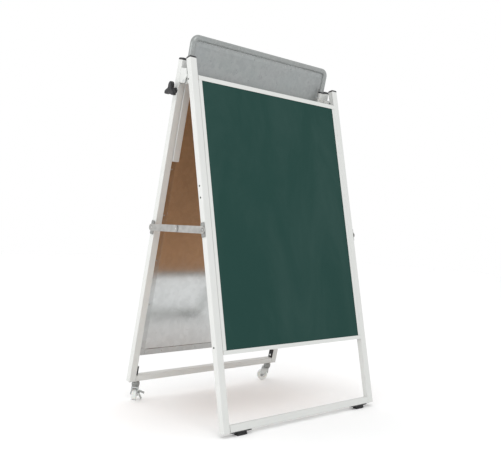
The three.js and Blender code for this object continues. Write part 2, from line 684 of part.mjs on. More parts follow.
// Ball-race neck, crown and two cheeks, with lugs and a pin for the brake on the
// +X side.
function forkGeometry() {
  const neckProfile = [
    [0, -21],
    [9.5, -21],
    [12, -18.5],
    [13.2, -14],
    [13.2, -10],
    [12, -5.5],
    [9.5, -2.9],
    [0, -2.9],
  ];
  const neck = lathe(neckProfile, 28);
  const width = FORK_INNER + FORK_WALL;
  const crown = slab([-width, width], [-9.5, CASTER_TRAIL + 6], [CROWN_FOOT, -20.5]);
  const cheek = new THREE.Shape();
  const foot = 6.5;
  cheek.moveTo(-9.5, CROWN_FOOT + 0.5);
  cheek.lineTo(CASTER_TRAIL - foot, AXLE_Z);
  cheek.absarc(CASTER_TRAIL, AXLE_Z, foot, Math.PI, 2 * Math.PI);
  cheek.lineTo(CASTER_TRAIL + 6, CROWN_FOOT + 0.5);
  cheek.closePath();
  const cheeks = [-1, 1].map((side) => across(cheek, span(side, FORK_INNER, width), 8));
  const axleHole = rodX(AXLE_RADIUS + GAP, [-20, 20], CASTER_TRAIL, AXLE_Z);
  const lugReach = ROCKER_HALF + GAP + 1.5;
  const lugPlate = slab([FORK_INNER, width], [-lugReach, lugReach], [ROCKER_Z - 4, CROWN_FOOT + 0.5]);
  const lugs = [-lugReach, ROCKER_HALF + GAP].map((y) => (
    slab([FORK_INNER + 0.5, ROCKER_X + 2.5], [y, y + 1.5], [ROCKER_Z - 2.5, ROCKER_Z + 2.5])
  ));
  const pin = new THREE.CylinderGeometry(ROCKER_PIN, ROCKER_PIN, 2 * lugReach - 0.4, 14)
    .translate(ROCKER_X, 0, ROCKER_Z);
  return cut(join(neck, crown, ...cheeks, lugPlate, ...lugs, pin), axleHole);
}

function wheelGeometry() {
  const half = WHEEL_WIDTH / 2;
  const bore = AXLE_RADIUS + GAP;
  const profile = [
    [bore, -half],
    [8, -half],
    [8, -half + 1.5],
    [WHEEL_RADIUS - 5, -half + 1.5],
    [WHEEL_RADIUS - 3, -half],
    [WHEEL_RADIUS - 1.5, -half],
    [WHEEL_RADIUS, -half + 2],
    [WHEEL_RADIUS, half - 2],
    [WHEEL_RADIUS - 1.5, half],
    [WHEEL_RADIUS - 3, half],
    [WHEEL_RADIUS - 5, half - 1.5],
    [8, half - 1.5],
    [8, half],
    [bore, half],
    [bore, -half],
  ];
  const points = profile.map(([radius, x]) => new THREE.Vector2(radius, x));
  const wheel = new THREE.LatheGeometry(points, 40);
  return wheel.rotateZ(-Math.PI / 2).translate(0, CASTER_TRAIL, AXLE_Z);
}

function axleGeometry() {
  const width = FORK_INNER + FORK_WALL;
  const shank = rodX(AXLE_RADIUS, [-width - 1, width + 1], CASTER_TRAIL, AXLE_Z);
  const heads = [-1, 1].map((side) => (
    rodX(AXLE_RADIUS + 2, span(side, width + GAP, width + 2), CASTER_TRAIL, AXLE_Z, 6)
  ));
  return join(shank, ...heads);
}

// Brake rocker: a barrel on the fork's pin, with an upper tab to lock the wheel
// and a lower one to free it.
function rockerGeometry() {
  const barrel = new THREE.CylinderGeometry(3.2, 3.2, 2 * ROCKER_HALF, 20).translate(ROCKER_X, 0, ROCKER_Z);
  const bore = new THREE.CylinderGeometry(ROCKER_PIN + GAP, ROCKER_PIN + GAP, 2 * ROCKER_HALF + 4, 14)
    .translate(ROCKER_X, 0, ROCKER_Z);
  const lever = polygon([
    [-2.2, 9.6],
    [-2.6, -2],
    [0.2, -5],
    [9.6, -18.2],
    [11.6, -16.8],
    [3.4, -4.4],
    [3.4, 3],
    [1.4, 6.6],
    [17, 3],
    [17.6, 5.2],
  ]);
  const reach = ROCKER_HALF - 0.5;
  const plate = facingFront(lever, [-reach, reach]).translate(ROCKER_X, 0, ROCKER_Z);
  return cut(join(barrel, plate), bore);
}

function addCasters() {
  for (const [name, side] of SIDES) {
    const caster = new THREE.Group();
    caster.position.set(side * CASTER_X, MID_DEPTH, REAR_FOOT);
    rearFrame.add(caster);
    addPiece(caster, `${name}_caster_mount`, mountGeometry(), ZINC_PLATE);
    const swivel = new THREE.Group();
    swivel.rotation.z = side * CASTER_TURN;
    caster.add(swivel);
    addPiece(swivel, `${name}_caster_fork`, forkGeometry(), DARK_STEEL);
    addPiece(swivel, `${name}_caster_wheel`, wheelGeometry(), GREY_NYLON);
    addPiece(swivel, `${name}_caster_axle`, axleGeometry(), ZINC_PLATE);
    addPiece(swivel, `${name}_brake_rocker`, rockerGeometry(), ZINC_PLATE);
  }
}

addFrontFrame();
addFeet();
addRearFrame();
addHeader();
addHinges();
addStays();
addCasters();

// Stand the board on the floor, over the middle of its footprint.
board.updateMatrixWorld(true);
const extent = new THREE.Box3().setFromObject(board, true);
board.position.set(0, -(extent.min.y + extent.max.y) / 2, -extent.min.z);

export default board;
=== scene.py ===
"""The looks of a folding A-frame board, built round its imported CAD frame.

Most pieces are drawn in millimetres in the upright space of the front or rear
frame: X to the right, Y towards the back, and Z up the posts from the fold
axis. The space then leans them into place. The stay links are drawn in a level
space through the same axis, and each caster round its own swivel axis.
"""

import json
import math

import bmesh
import bpy
from mathutils import Matrix, Vector


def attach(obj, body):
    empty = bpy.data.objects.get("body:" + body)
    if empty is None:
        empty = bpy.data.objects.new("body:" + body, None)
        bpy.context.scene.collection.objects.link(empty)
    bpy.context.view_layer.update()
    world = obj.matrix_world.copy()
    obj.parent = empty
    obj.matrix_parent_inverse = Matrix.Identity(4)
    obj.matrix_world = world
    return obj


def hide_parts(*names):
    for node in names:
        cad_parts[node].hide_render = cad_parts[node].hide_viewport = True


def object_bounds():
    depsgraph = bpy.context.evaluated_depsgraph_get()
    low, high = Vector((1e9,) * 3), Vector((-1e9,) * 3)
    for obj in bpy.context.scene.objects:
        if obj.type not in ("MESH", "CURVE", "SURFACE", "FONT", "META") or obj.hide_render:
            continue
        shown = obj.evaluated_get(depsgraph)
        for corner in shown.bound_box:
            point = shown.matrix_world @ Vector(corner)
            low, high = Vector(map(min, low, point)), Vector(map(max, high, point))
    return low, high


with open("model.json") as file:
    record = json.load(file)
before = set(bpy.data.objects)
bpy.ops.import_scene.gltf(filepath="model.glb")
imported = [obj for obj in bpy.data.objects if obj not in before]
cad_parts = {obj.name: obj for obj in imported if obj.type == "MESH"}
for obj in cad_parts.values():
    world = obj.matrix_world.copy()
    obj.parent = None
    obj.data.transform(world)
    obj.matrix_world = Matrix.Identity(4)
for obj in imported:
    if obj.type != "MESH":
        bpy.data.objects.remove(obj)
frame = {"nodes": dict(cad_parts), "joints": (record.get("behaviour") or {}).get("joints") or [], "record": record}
cad_box = [list(corner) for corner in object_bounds()]

# ---------------------------------------------------------------- the frame

MM = 0.001
JOINTS = {joint["name"]: joint for joint in frame["joints"]}
PIVOT = Vector(JOINTS["frame_fold"]["pos_m"])
LEAN = math.asin(-Vector(JOINTS["header_slide"]["axis"]).y)


def leaned(angle):
    return Matrix.Translation(PIVOT) @ Matrix.Rotation(angle, 4, "X")


FRONT = leaned(-LEAN)
REAR = leaned(LEAN)
LEVEL = leaned(0.0)
SIDES = (("left", -1), ("right", 1))
FRAMES = (("front", FRONT, "front_frame"), ("rear", REAR, "rear_frame"))


def extent(node, space):
    """A CAD node's lowest and highest corner in a space, in millimetres."""
    back = space.inverted()
    points = [(back @ v.co) / MM for v in frame["nodes"][node].data.vertices]
    low = Vector([min(p[i] for p in points) for i in range(3)])
    high = Vector([max(p[i] for p in points) for i in range(3)])
    return low, high


def middle(low, high):
    return (low + high) / 2


def flanks(node, space, sign):
    """The outer and inner x of a node on the board's left or right side."""
    low, high = extent(node, space)
    return (high.x, low.x) if sign > 0 else (low.x, high.x)


# ------------------------------------------------------------ mesh building

# Edges that turn more than this are creases, and gentler ones are facets of a curve
SHARP = math.radians(38)
FULL_TURN = 2 * math.pi
QUARTER = math.pi / 2


def place(axis, a, b, along):
    """The point at (a, b) in the plane across an axis, at a distance along it."""
    if axis == "x":
        return Vector((along, a, b))
    if axis == "y":
        return Vector((a, along, b))
    return Vector((a, b, along))


def loft(bm, rings, cyclic=False):
    """Skins rings of points that have equal counts, and closes its two ends."""
    made = [[bm.verts.new(point) for point in ring] for ring in rings]
    pairs = list(zip(made, made[1:]))
    if cyclic:
        pairs.append((made[-1], made[0]))
    for lower, upper in pairs:
        count = len(lower)
        for i in range(count):
            j = (i + 1) % count
            bm.faces.new((lower[i], lower[j], upper[j], upper[i]))
    if not cyclic:
        bm.faces.new(list(reversed(made[0])))
        bm.faces.new(made[-1])


def circle(radius, steps=40, centre=(0, 0), start=0.0, turn=FULL_TURN):
    """Points round a circle, or from end to end of an arc."""
    count = steps if abs(turn) == FULL_TURN else steps + 1
    return [
        (
            centre[0] + radius * math.cos(start + turn * i / steps),
            centre[1] + radius * math.sin(start + turn * i / steps),
        )
        for i in range(count)
    ]


def rounded(width, height, radius, centre=(0, 0), steps=5):
    """A rectangle outline with rounded corners."""
    points = []
    for quarter in range(4):
        sign_a = 1 if quarter in (0, 3) else -1
        sign_b = 1 if quarter in (0, 1) else -1
        corner = (
            centre[0] + sign_a * (width / 2 - radius),
            centre[1] + sign_b * (height / 2 - radius),
        )
        points += circle(radius, steps, corner, quarter * QUARTER, QUARTER)
    return points


def prism(bm, outline, axis, low, high):
    """A solid with one outline from end to end."""
    loft(bm, [[place(axis, a, b, t) for a, b in outline] for t in (low, high)])


def pipe(bm, outer, inner, axis, low, high):
    """A hollow section, open at both ends."""
    rings = []
    for outline, along in ((outer, low), (outer, high), (inner, high), (inner, low)):
        rings.append([place(axis, a, b, along) for a, b in outline])
    loft(bm, rings, cyclic=True)


def turned(bm, profile, axis, centre=(0, 0), steps=40, cyclic=False):
    """A turned solid: profile is (radius, distance along the axis)."""
    rings = [
        [place(axis, a, b, along) for a, b in circle(radius, steps, centre)]
        for radius, along in profile
    ]
    loft(bm, rings, cyclic)


def block(bm, low, high):
    """A cuboid between two corners."""
    corners = [(low[0], low[1]), (high[0], low[1]), (high[0], high[1]), (low[0], high[1])]
    prism(bm, corners, "z", low[2], high[2])


def dense(outline, longest):
    """The same outline with extra points, so that no edge is long."""
    points = []
    for (a0, b0), (a1, b1) in zip(outline, outline[1:] + outline[:1]):
        parts = max(1, math.ceil(math.hypot(a1 - a0, b1 - b0) / longest))
        points += [(a0 + (a1 - a0) * i / parts, b0 + (b1 - b0) * i / parts) for i in range(parts)]
    return points


def bore_of(outline, radius, centre):
    """A round hole with one point facing each point of the outline."""
    angles = [math.atan2(b - centre[1], a - centre[0]) for a, b in outline]
    return [(centre[0] + radius * math.cos(t), centre[1] + radius * math.sin(t)) for t in angles]


def rivet_head(bm, size, axis, centre, base, way, steps=20):
    """A low dome of a (radius, height) size, on a face that looks one way along an axis."""
    radius, rise = size[0], way * size[1]
    rings = 6
    profile = [(radius, base)]
    for ring in range(1, rings):
        angle = QUARTER * ring / rings
        profile.append((radius * math.cos(angle), base + rise * math.sin(angle)))
    profile.append((radius * 0.12, base + rise))
    turned(bm, profile, axis, centre, steps)


def screw_head(bm, size, axis, centre, base, way):
    """A pan head of a (radius, height) size with a round recess."""
    radius, rise = size[0], way * size[1]
    bottom = base + rise - rise * 0.6
    profile = [
        (radius, base),
        (radius, base + rise * 0.5),
        (radius * 0.82, base + rise),
        (radius * 0.5, base + rise),
        (radius * 0.42, bottom),
        (radius * 0.05, bottom),
    ]
    turned(bm, profile, axis, centre, 24)


def soften(bm, width, segments):
    """Rounds every edge that is sharper than a facet of a curve."""
    bmesh.ops.recalc_face_normals(bm, faces=bm.faces)
    edges = [e for e in bm.edges if e.is_manifold and e.calc_face_angle(0.0) > SHARP]
    bmesh.ops.bevel(
        bm,
        geom=edges,
        offset=width,
        offset_type="OFFSET",
        segments=segments,
        profile=0.5,
        affect="EDGES",
        clamp_overlap=True,
    )


def piece(name, bm, space, body, material, nodes=(), edge=0.3, segments=2):
    """Turns a drawn shape into a piece that rides on a body."""
    if edge:
        soften(bm, edge, segments)
    bmesh.ops.recalc_face_normals(bm, faces=bm.faces)
    mesh = bpy.data.meshes.new(name)
    bm.to_mesh(mesh)
    bm.free()
    mesh.transform(space @ Matrix.Scale(MM, 4))
    mesh.shade_smooth()
    mesh.set_sharp_from_angle(angle=SHARP)
    obj = bpy.data.objects.new(name, mesh)
    bpy.context.scene.collection.objects.link(obj)
    mesh.materials.append(material)
    weighted = obj.modifiers.new("weighted_normals", "WEIGHTED_NORMAL")
    weighted.keep_sharp = True
    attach(obj, body)
    if nodes:
        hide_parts(*nodes)
    return obj


# ---------------------------------------------------------------- materials


class Look:
    """A Principled material whose colour, roughness and bump are built in nodes."""

    # A mix node has one set of sockets per data type, and these are the colour ones
    COLOUR_MIX_INPUTS = (0, 6, 7)
    COLOUR_MIX_OUTPUT = 2

    def __init__(self, name, **fixed):
        self.material = bpy.data.materials.new(name)
        self.material.use_nodes = True
        self.tree = self.material.node_tree
        self.shader = self.tree.nodes["Principled BSDF"]
        for key, value in fixed.items():
            self.shader.inputs[key.replace("_", " ")].default_value = value
        self.where = self.add("ShaderNodeTexCoord").outputs["Object"]

    def feed(self, socket, value):
        """Links a socket to another one's output, or sets its value."""
        if isinstance(value, bpy.types.NodeSocket):
            self.tree.links.new(value, socket)
        else:
            socket.default_value = value

    def add(self, kind, **inputs):
        node = self.tree.nodes.new(kind)
        for key, value in inputs.items():
            self.feed(node.inputs[key.replace("_", " ")], value)
        return node

    def spread(self, size=(1, 1, 1), turn=(0, 0, 0)):
        """Object coordinates, stretched and turned."""
        node = self.add("ShaderNodeMapping", Vector=self.where, Scale=size, Rotation=turn)
        return node.outputs[0]

    def noise(self, scale, detail=4.0, rough=0.55, warp=0.0, at=None):
        node = self.add(
            "ShaderNodeTexNoise",
            Vector=at or self.where,
            Scale=scale,
            Detail=detail,
            Roughness=rough,
            Distortion=warp,
        )
        return node.outputs["Fac"]

    def cells(self, scale, at=None):
        node = self.add("ShaderNodeTexVoronoi", Vector=at or self.where, Scale=scale)
        return node.outputs["Color"]

    def level(self, value, low, high, to_low=0.0, to_high=1.0):
        """Maps a range of one value onto another, clamped."""
        span = {"From_Min": low, "From_Max": high, "To_Min": to_low, "To_Max": to_high}
        return self.add("ShaderNodeMapRange", Value=value, **span).outputs["Result"]

    def mix(self, share, a, b):
        node = self.tree.nodes.new("ShaderNodeMix")
        node.data_type = "RGBA"
        for index, value in zip(self.COLOUR_MIX_INPUTS, (share, a, b)):
            self.feed(node.inputs[index], value)
        return node.outputs[self.COLOUR_MIX_OUTPUT]

    def math(self, operation, a, b):
        node = self.tree.nodes.new("ShaderNodeMath")
        node.operation = operation
        for socket, value in zip(node.inputs, (a, b)):
            self.feed(socket, value)
        return node.outputs[0]

    def grey(self, colour):
        return self.add("ShaderNodeRGBToBW", Color=colour).outputs[0]

    def colour(self, value):
        self.tree.links.new(value, self.shader.inputs["Base Color"])

    def roughness(self, value):
        self.tree.links.new(value, self.shader.inputs["Roughness"])

    def bump(self, value, depth_mm, strength=1.0):
        """Adds a bump on top of the ones that the surface has already."""
        node = self.add("ShaderNodeBump", Height=value, Distance=depth_mm * MM, Strength=strength)
        if self.shader.inputs["Normal"].is_linked:
            earlier = self.shader.inputs["Normal"].links[0].from_socket
            self.tree.links.new(earlier, node.inputs["Normal"])
        self.tree.links.new(node.outputs[0], self.shader.inputs["Normal"])


def rgb(red, green, blue):
    """A display colour, 0 to 255, as linear light by the sRGB curve."""
    def linear(value):
        c = value / 255
        return c / 12.92 if c <= 0.04045 else ((c + 0.055) / 1.055) ** 2.4

    return (linear(red), linear(green), linear(blue), 1.0)


def white_paint():
    """Powder coat: a slight orange peel, faint handling marks and fine scuffs."""
    look = Look("white_powder_coat", Specular_IOR_Level=0.45)
    clean = look.mix(look.noise(9.0, 3.0), rgb(202, 204, 201), rgb(210, 211, 209))
    scuff = look.level(look.noise(70.0, 6.0, 0.7, 0.4, look.spread((1, 1, 0.12))), 0.68, 0.78)
    faint = look.math("MULTIPLY", scuff, 0.35)
    look.colour(look.mix(faint, clean, rgb(176, 175, 170)))
    look.roughness(look.level(look.noise(40.0, 5.0), 0.3, 0.7, 0.32, 0.46))
    look.bump(look.noise(700.0, 2.0), 0.03)
    return look.material


def chalk_green():
    """Matt chalk paint, with the faint haze of wiped chalk."""
    look = Look("chalk_green_paint", Specular_IOR_Level=0.16)
    paint = look.mix(look.noise(3.0, 4.0), rgb(25, 59, 54), rgb(28, 62, 56))
    swipe = look.noise(5.0, 6.0, 0.62, 0.8, look.spread((1.0, 1.0, 0.35), (0, 0.5, 0)))
    haze = look.math("MULTIPLY", look.level(swipe, 0.45, 0.8), 0.035)
    dust = look.math("MULTIPLY", look.level(look.noise(420.0, 2.0), 0.62, 0.8), 0.03)
    look.colour(look.mix(look.math("ADD", haze, dust), paint, rgb(150, 170, 165)))
    look.roughness(look.level(swipe, 0.3, 0.8, 0.78, 0.66))
    look.bump(look.noise(1500.0, 3.0), 0.02)
    return look.material


def hardboard():
    """Tempered hardboard: pressed fibres, darker flecks and a faint mottle."""
    look = Look("brown_hardboard", Specular_IOR_Level=0.3)
    base = look.mix(look.noise(6.0, 5.0), rgb(206, 154, 110), rgb(218, 167, 122))
    fleck = look.level(look.noise(380.0, 5.0, 0.75, 0.6), 0.52, 0.7)
    fibre = look.level(look.noise(160.0, 6.0, 0.8, 1.6, look.spread((1, 1, 0.25))), 0.5, 0.66)
    dark = look.math("MULTIPLY", look.math("MAXIMUM", fleck, fibre), 0.45)
    look.colour(look.mix(dark, base, rgb(156, 110, 76)))
    look.roughness(look.level(look.noise(200.0, 4.0), 0.3, 0.7, 0.5, 0.72))
    look.bump(look.noise(520.0, 5.0, 0.7), 0.08)
    return look.material


def white_enamel():
    """Glossy writing surface, with wiped-marker ghosts and a soft ripple."""
    look = Look("white_enamel_surface", Coat_Weight=0.5, Coat_Roughness=0.05)
    ghost = look.noise(7.0, 6.0, 0.6, 1.2, look.spread((1, 1, 0.4), (0, 0.6, 0)))
    share = look.math("MULTIPLY", look.level(ghost, 0.5, 0.75), 0.10)
    look.colour(look.mix(share, rgb(240, 242, 241), rgb(196, 204, 208)))
    look.roughness(look.level(ghost, 0.3, 0.75, 0.10, 0.24))
    look.bump(look.noise(4.0, 2.0), 0.5, 0.25)
    return look.material


def galvanised(name, light, dark, spangle, metallic):
    """Hot-dip zinc: spangles that differ in tone and gloss, and dull blotches."""
    look = Look(name, Metallic=metallic)
    crystals = look.grey(look.cells(spangle, look.spread((1, 1, 0.8), (0.2, 0.1, 0.3))))
    small = look.grey(look.cells(spangle * 2.6))
    tone = look.math("ADD", look.math("MULTIPLY", crystals, 0.65), look.math("MULTIPLY", small, 0.35))
    metal = look.mix(look.level(tone, 0.2, 0.8), rgb(*dark), rgb(*light))
    tint = look.mix(look.noise(9.0, 3.0), rgb(148, 162, 152), rgb(156, 158, 166))
    blotch = look.math("MULTIPLY", look.level(look.noise(13.0, 5.0, 0.6), 0.4, 0.75), 0.45)
    look.colour(look.mix(blotch, metal, tint))
    look.roughness(look.level(tone, 0.1, 0.9, 0.27, 0.46))
    look.bump(tone, 0.03, 0.6)
    look.bump(look.noise(5.0, 2.0), 0.6, 0.2)
    return look.material


def bright_sheet(name="bright_backing_sheet", rough=(0.10, 0.17), painted_shade=1.0):
    """Smooth galvanised backing, shiny enough to mirror what faces it. The last argument scales every tone, and
    below one it is painted shade.
    """
    def tone(red, green, blue):
        return rgb(red * painted_shade, green * painted_shade, blue * painted_shade)

    look = Look(name, Metallic=1.0)
    crystals = look.grey(look.cells(70.0))
    metal = look.mix(look.level(crystals, 0.2, 0.8), tone(200, 202, 202), tone(208, 210, 210))
    smear = look.noise(6.0, 5.0, 0.6, 0.7, look.spread((1, 1, 0.5)))
    share = look.math("MULTIPLY", look.level(smear, 0.4, 0.8), 0.25)
    look.colour(look.mix(share, metal, tone(184, 187, 187)))
    look.roughness(look.level(smear, 0.25, 0.8, *rough))
    look.bump(look.noise(3.2, 2.0), 0.5, 0.1)
    return look.material


def zinc(name="zinc_plate", tone=(186, 187, 184), rough=(0.28, 0.44), metallic=1.0):
    """Plated steel: soft cloudiness, fine grain and a few scratches."""
    look = Look(name, Metallic=metallic)
    cloud = look.noise(55.0, 5.0, 0.6)
    darker = tuple(value * 0.86 for value in tone)
    base = look.mix(look.level(cloud, 0.3, 0.7), rgb(*darker), rgb(*tone))
    scratch = look.level(look.noise(900.0, 3.0, 0.6, 0.2, look.spread((0.08, 1, 1))), 0.6, 0.75)
    look.colour(look.mix(look.math("MULTIPLY", scratch, 0.25), base, rgb(120, 120, 118)))
    look.roughness(look.level(cloud, 0.25, 0.75, *rough))
    look.bump(look.noise(1200.0, 3.0), 0.01)
    return look.material


def moulded(name, tone, rough, grain=1400.0, depth=0.03, **fixed):
    """Moulded plastic or rubber: fine grain, and patches of dust."""
    look = Look(name, **fixed)
    lighter = tuple(min(255, value * 1.14 + 5) for value in tone)
    base = look.mix(look.noise(60.0, 4.0), rgb(*tone), rgb(*lighter))
    dust = look.math("MULTIPLY", look.level(look.noise(260.0, 5.0, 0.7), 0.58, 0.75), 0.10)
    look.colour(look.mix(dust, base, rgb(150, 148, 142)))
    look.roughness(look.level(look.noise(90.0, 4.0), 0.3, 0.7, *rough))
    look.bump(look.noise(grain, 3.0), depth)
    return look.material


WHITE = white_paint()
GREEN = chalk_green()
BROWN = hardboard()
ENAMEL = white_enamel()
SPANGLE = galvanised("galvanised_sheet", (163, 166, 166), (149, 152, 152), 95.0, 1.0)
# The hem strips wear the backing sheet's material at 0.93 of its tone, which is painted shade for strips that lie
# in shade beside the posts, with a rougher finish
HEM_PAINTED_SHADE = bright_sheet("hem_strip_painted_shade", (0.16, 0.24), 0.93)
TUBE = galvanised("galvanised_tube", (156, 158, 157), (141, 144, 143), 160.0, 0.6)
HEADER_HEM = galvanised("galvanised_header_hem", (163, 166, 166), (149, 152, 152), 120.0, 0.6)
BRIGHT = bright_sheet()
ZINC = zinc()
STEEL = zinc("dull_caster_steel", (152, 154, 152), (0.34, 0.52), 0.7)
LEVER = zinc("brake_lever_steel", (166, 168, 166), (0.3, 0.45))
PALE_STEEL = zinc("bright_fork_steel", (206, 209, 208), (0.34, 0.5), 0.15)
STAY = zinc("stay_bar_zinc", (182, 181, 178), (0.3, 0.46))
BRACKET = zinc("bracket_zinc", (156, 157, 155), (0.3, 0.46))
DARK = zinc("blackened_rivet_steel", (84, 84, 82), (0.4, 0.55))
BRIGHT_SCREW = zinc("screw_zinc", (226, 227, 225), (0.2, 0.3))
BLACK = moulded("black_plastic", (30, 30, 33), (0.38, 0.52))
RUBBER = moulded("black_rubber", (26, 26, 27), (0.7, 0.86), 900.0, 0.06)
NYLON = moulded("white_nylon", (202, 204, 202), (0.42, 0.56), 700.0, 0.03, Subsurface_Weight=0.08)

# The CAD nodes wear the look of their own material slot
PAINT = {
    "white_paint": WHITE,
    "chalk_green": GREEN,
    "hardboard": BROWN,
    "white_enamel": ENAMEL,
    "galvanised": SPANGLE,
    "zinc_plate": ZINC,
    "black_plastic": BLACK,
    "black_rubber": RUBBER,
    "white_nylon": NYLON,
    "caster_steel": STEEL,
}
for part in frame["record"]["subparts"]:
    node = frame["nodes"][part["node"]]
    node.data.materials.clear()
    node.data.materials.append(PAINT[part["material_slot"]])

# ------------------------------------------------------------- posts, rails

# The wall of tubes, channels and hems, a tube's corner radius, and the gap between two pieces
WALL = 1.2
CORNER = 2.2
GAP = 0.3

# A weld bead's rings: distance along the tube, and distance that the ring stands off it
WELD_BEAD = ((-0.25, 1.0), (0.35, 0.95), (1.0, 0.55), (1.5, -0.2))

# A cap's straight rim, and the rounded head above it, whose last ring keeps a little width
CAP_RIM = 2.5
CAP_STEPS = 8
CAP_LEAST = 0.04


def hollow_bar(name, node, space, body, axis):
    """A rectangular tube that fills its node's extent along X or Z."""
    low, high = extent(node, space)
    mid, size = middle(low, high), high - low
    if axis == "z":
        centre, width, height = (mid.x, mid.y), size.x, size.y
        start, end = low.z, high.z
    else:
        centre, width, height = (mid.y, mid.z), size.y, size.z
        start, end = low.x, high.x
    outer = rounded(width, height, CORNER, centre, 6)
    inner = rounded(width - 2 * WALL, height - 2 * WALL, CORNER - WALL, centre, 6)
    bm = bmesh.new()
    pipe(bm, outer, inner, axis, start, end)
    return piece(name, bm, space, body, WHITE, [node], edge=0.25)


def weld_beads(name, node, space, body):
    """Fillets of weld metal round both ends of a cross tube."""
    low, high = extent(node, space)
    mid, size = middle(low, high), high - low
    bm = bmesh.new()
    for end, inward in ((low.x, 1), (high.x, -1)):
        rings = []
        for reach, grow in WELD_BEAD:
            corner = CORNER + max(grow, 0.0)
            outline = rounded(size.y + 2 * grow, size.z + 2 * grow, corner, (mid.y, mid.z), 6)
            rings.append([place("x", a, b, end + inward * reach) for a, b in outline])
        loft(bm, rings)
    return piece(name, bm, space, body, WHITE, edge=0)


def cap(name, node, post, space, body):
    """A plug with a thin rim and a pillow-shaped head."""
    low, high = extent(node, space)
    base = extent(post, space)[1].z + GAP
    mid, size = middle(low, high), high - low
    levels = [(1.0, base), (1.0, base + CAP_RIM)]
    for step in range(1, CAP_STEPS + 1):
        angle = QUARTER * step / CAP_STEPS
        share = max(math.cos(angle), CAP_LEAST) ** 0.5
        levels.append((share, base + CAP_RIM + (high.z - base - CAP_RIM) * math.sin(angle)))
    rings = []
    for share, height in levels:
        outline = rounded(size.x * share, size.y * share, CORNER * share, (mid.x, mid.y), 5)
        rings.append([place("z", a, b, height) for a, b in outline])
    bm = bmesh.new()
    loft(bm, rings)
    plug = 2 * (WALL + GAP)
    half_x, half_y = (size.x - plug) / 2, (size.y - plug) / 2
    block(bm, (mid.x - half_x, mid.y - half_y, low.z), (mid.x + half_x, mid.y + half_y, base + 0.1))
    return piece(name, bm, space, body, BLACK, [node], edge=0.2)


def plain(name, node, space, body, material, edge, segments=2):
    """A flat piece that fills its node's extent."""
    low, high = extent(node, space)
    bm = bmesh.new()
    block(bm, low, high)
    return piece(name, bm, space, body, material, [node], edge=edge, segments=segments)


for frame_name, space, body in FRAMES:
    for side, _ in SIDES:
        post = f"{frame_name}_{side}_post"
        hollow_bar(f"{post}_tube", post, space, body, "z")
        cap(f"{frame_name}_{side}_end_cap", f"{frame_name}_{side}_cap", post, space, body)
    node = f"{frame_name}_foot_rail"
    hollow_bar(f"{node}_tube", node, space, body, "x")
    weld_beads(f"{node}_welds", node, space, body)

# Blind rivets on the front posts, by radius and height of a head: three down each outer face, and one
# on either side of the post by the hinge
POST_RIVET = (3.0, 0.9)
POST_RIVET_HEIGHTS = (-333, -368, -804)
HINGE_RIVET = (2.4, 0.8)
HINGE_RIVET_INSET = 3
OUTER_HINGE_RIVET = -3
INNER_HINGE_RIVET = 20

bm = bmesh.new()
for side, sign in SIDES:
    low, high = extent(f"front_{side}_post", FRONT)
    outer, inner = flanks(f"front_{side}_post", FRONT, sign)
    for height in POST_RIVET_HEIGHTS:
        rivet_head(bm, POST_RIVET, "x", ((low.y + high.y) / 2, height), outer, sign)
    inset = high.y - HINGE_RIVET_INSET
    rivet_head(bm, HINGE_RIVET, "x", (inset, OUTER_HINGE_RIVET), outer, sign)
    rivet_head(bm, HINGE_RIVET, "x", (inset, INNER_HINGE_RIVET), inner, -sign)
piece("front_post_rivets", bm, FRONT, "front_frame", DARK, edge=0)

# -------------------------------------------------------------- chalk panel

plain("chalk_panel", "chalkboard_sheet", FRONT, "front_frame", GREEN, 0.15)
plain("hardboard_panel", "hardboard_backing", FRONT, "front_frame", BROWN, 0.4, 3)


def holding_channel(node, root, lip, axis, start, end):
    """A folded channel: a web, a lip over the sheet and a lip behind the backing."""
    low, high = extent(node, FRONT)
    back = extent("hardboard_backing", FRONT)[1].y + GAP + WALL
    way = 1 if lip > root else -1
    web = root + way * WALL
    section = [
        (root, high.y),
        (web, high.y),
        (web, back),
        (lip, back),
        (lip, back - WALL),
        (web, back - WALL),
        (web, low.y + WALL),
        (lip, low.y + WALL),
        (lip, low.y),
        (root, low.y),
    ]
    bm = bmesh.new()
    if axis == "x":
        section = [(y, z) for z, y in section]
    prism(bm, section, axis, start, end)
    name = f"{node}_fold"
    return piece(name, bm, FRONT, "front_frame", WHITE, [node], edge=0.45, segments=3)


for side, sign in SIDES:
    node = f"front_{side}_channel"
    low, high = extent(node, FRONT)
    holding_channel(node, *flanks(node, FRONT, sign), "z", low.z, high.z)
low, high = extent("front_top_rail", FRONT)
holding_channel("front_top_rail", high.z, low.z, "x", low.x, high.x)
low, high = extent("front_bottom_rail", FRONT)
holding_channel("front_bottom_rail", low.z, high.z, "x", low.x, high.x)

# --------------------------------------------------------------------- feet

FOOT_CORNER = 3
FOOT_SCREW = (3.4, 1.2)
FOOT_SCREW_INSET = 9

# A pad's ribs, the bare lengths at the ends of a rib's pitch, and how far its core lies inside the ribs
PAD_RIBS = 6
PAD_RIB_START = 0.15
PAD_RIB_END = 0.75
PAD_CORE_UP = 1.2
PAD_CORE_DOWN = 0.4
PAD_CORE_IN = 0.8

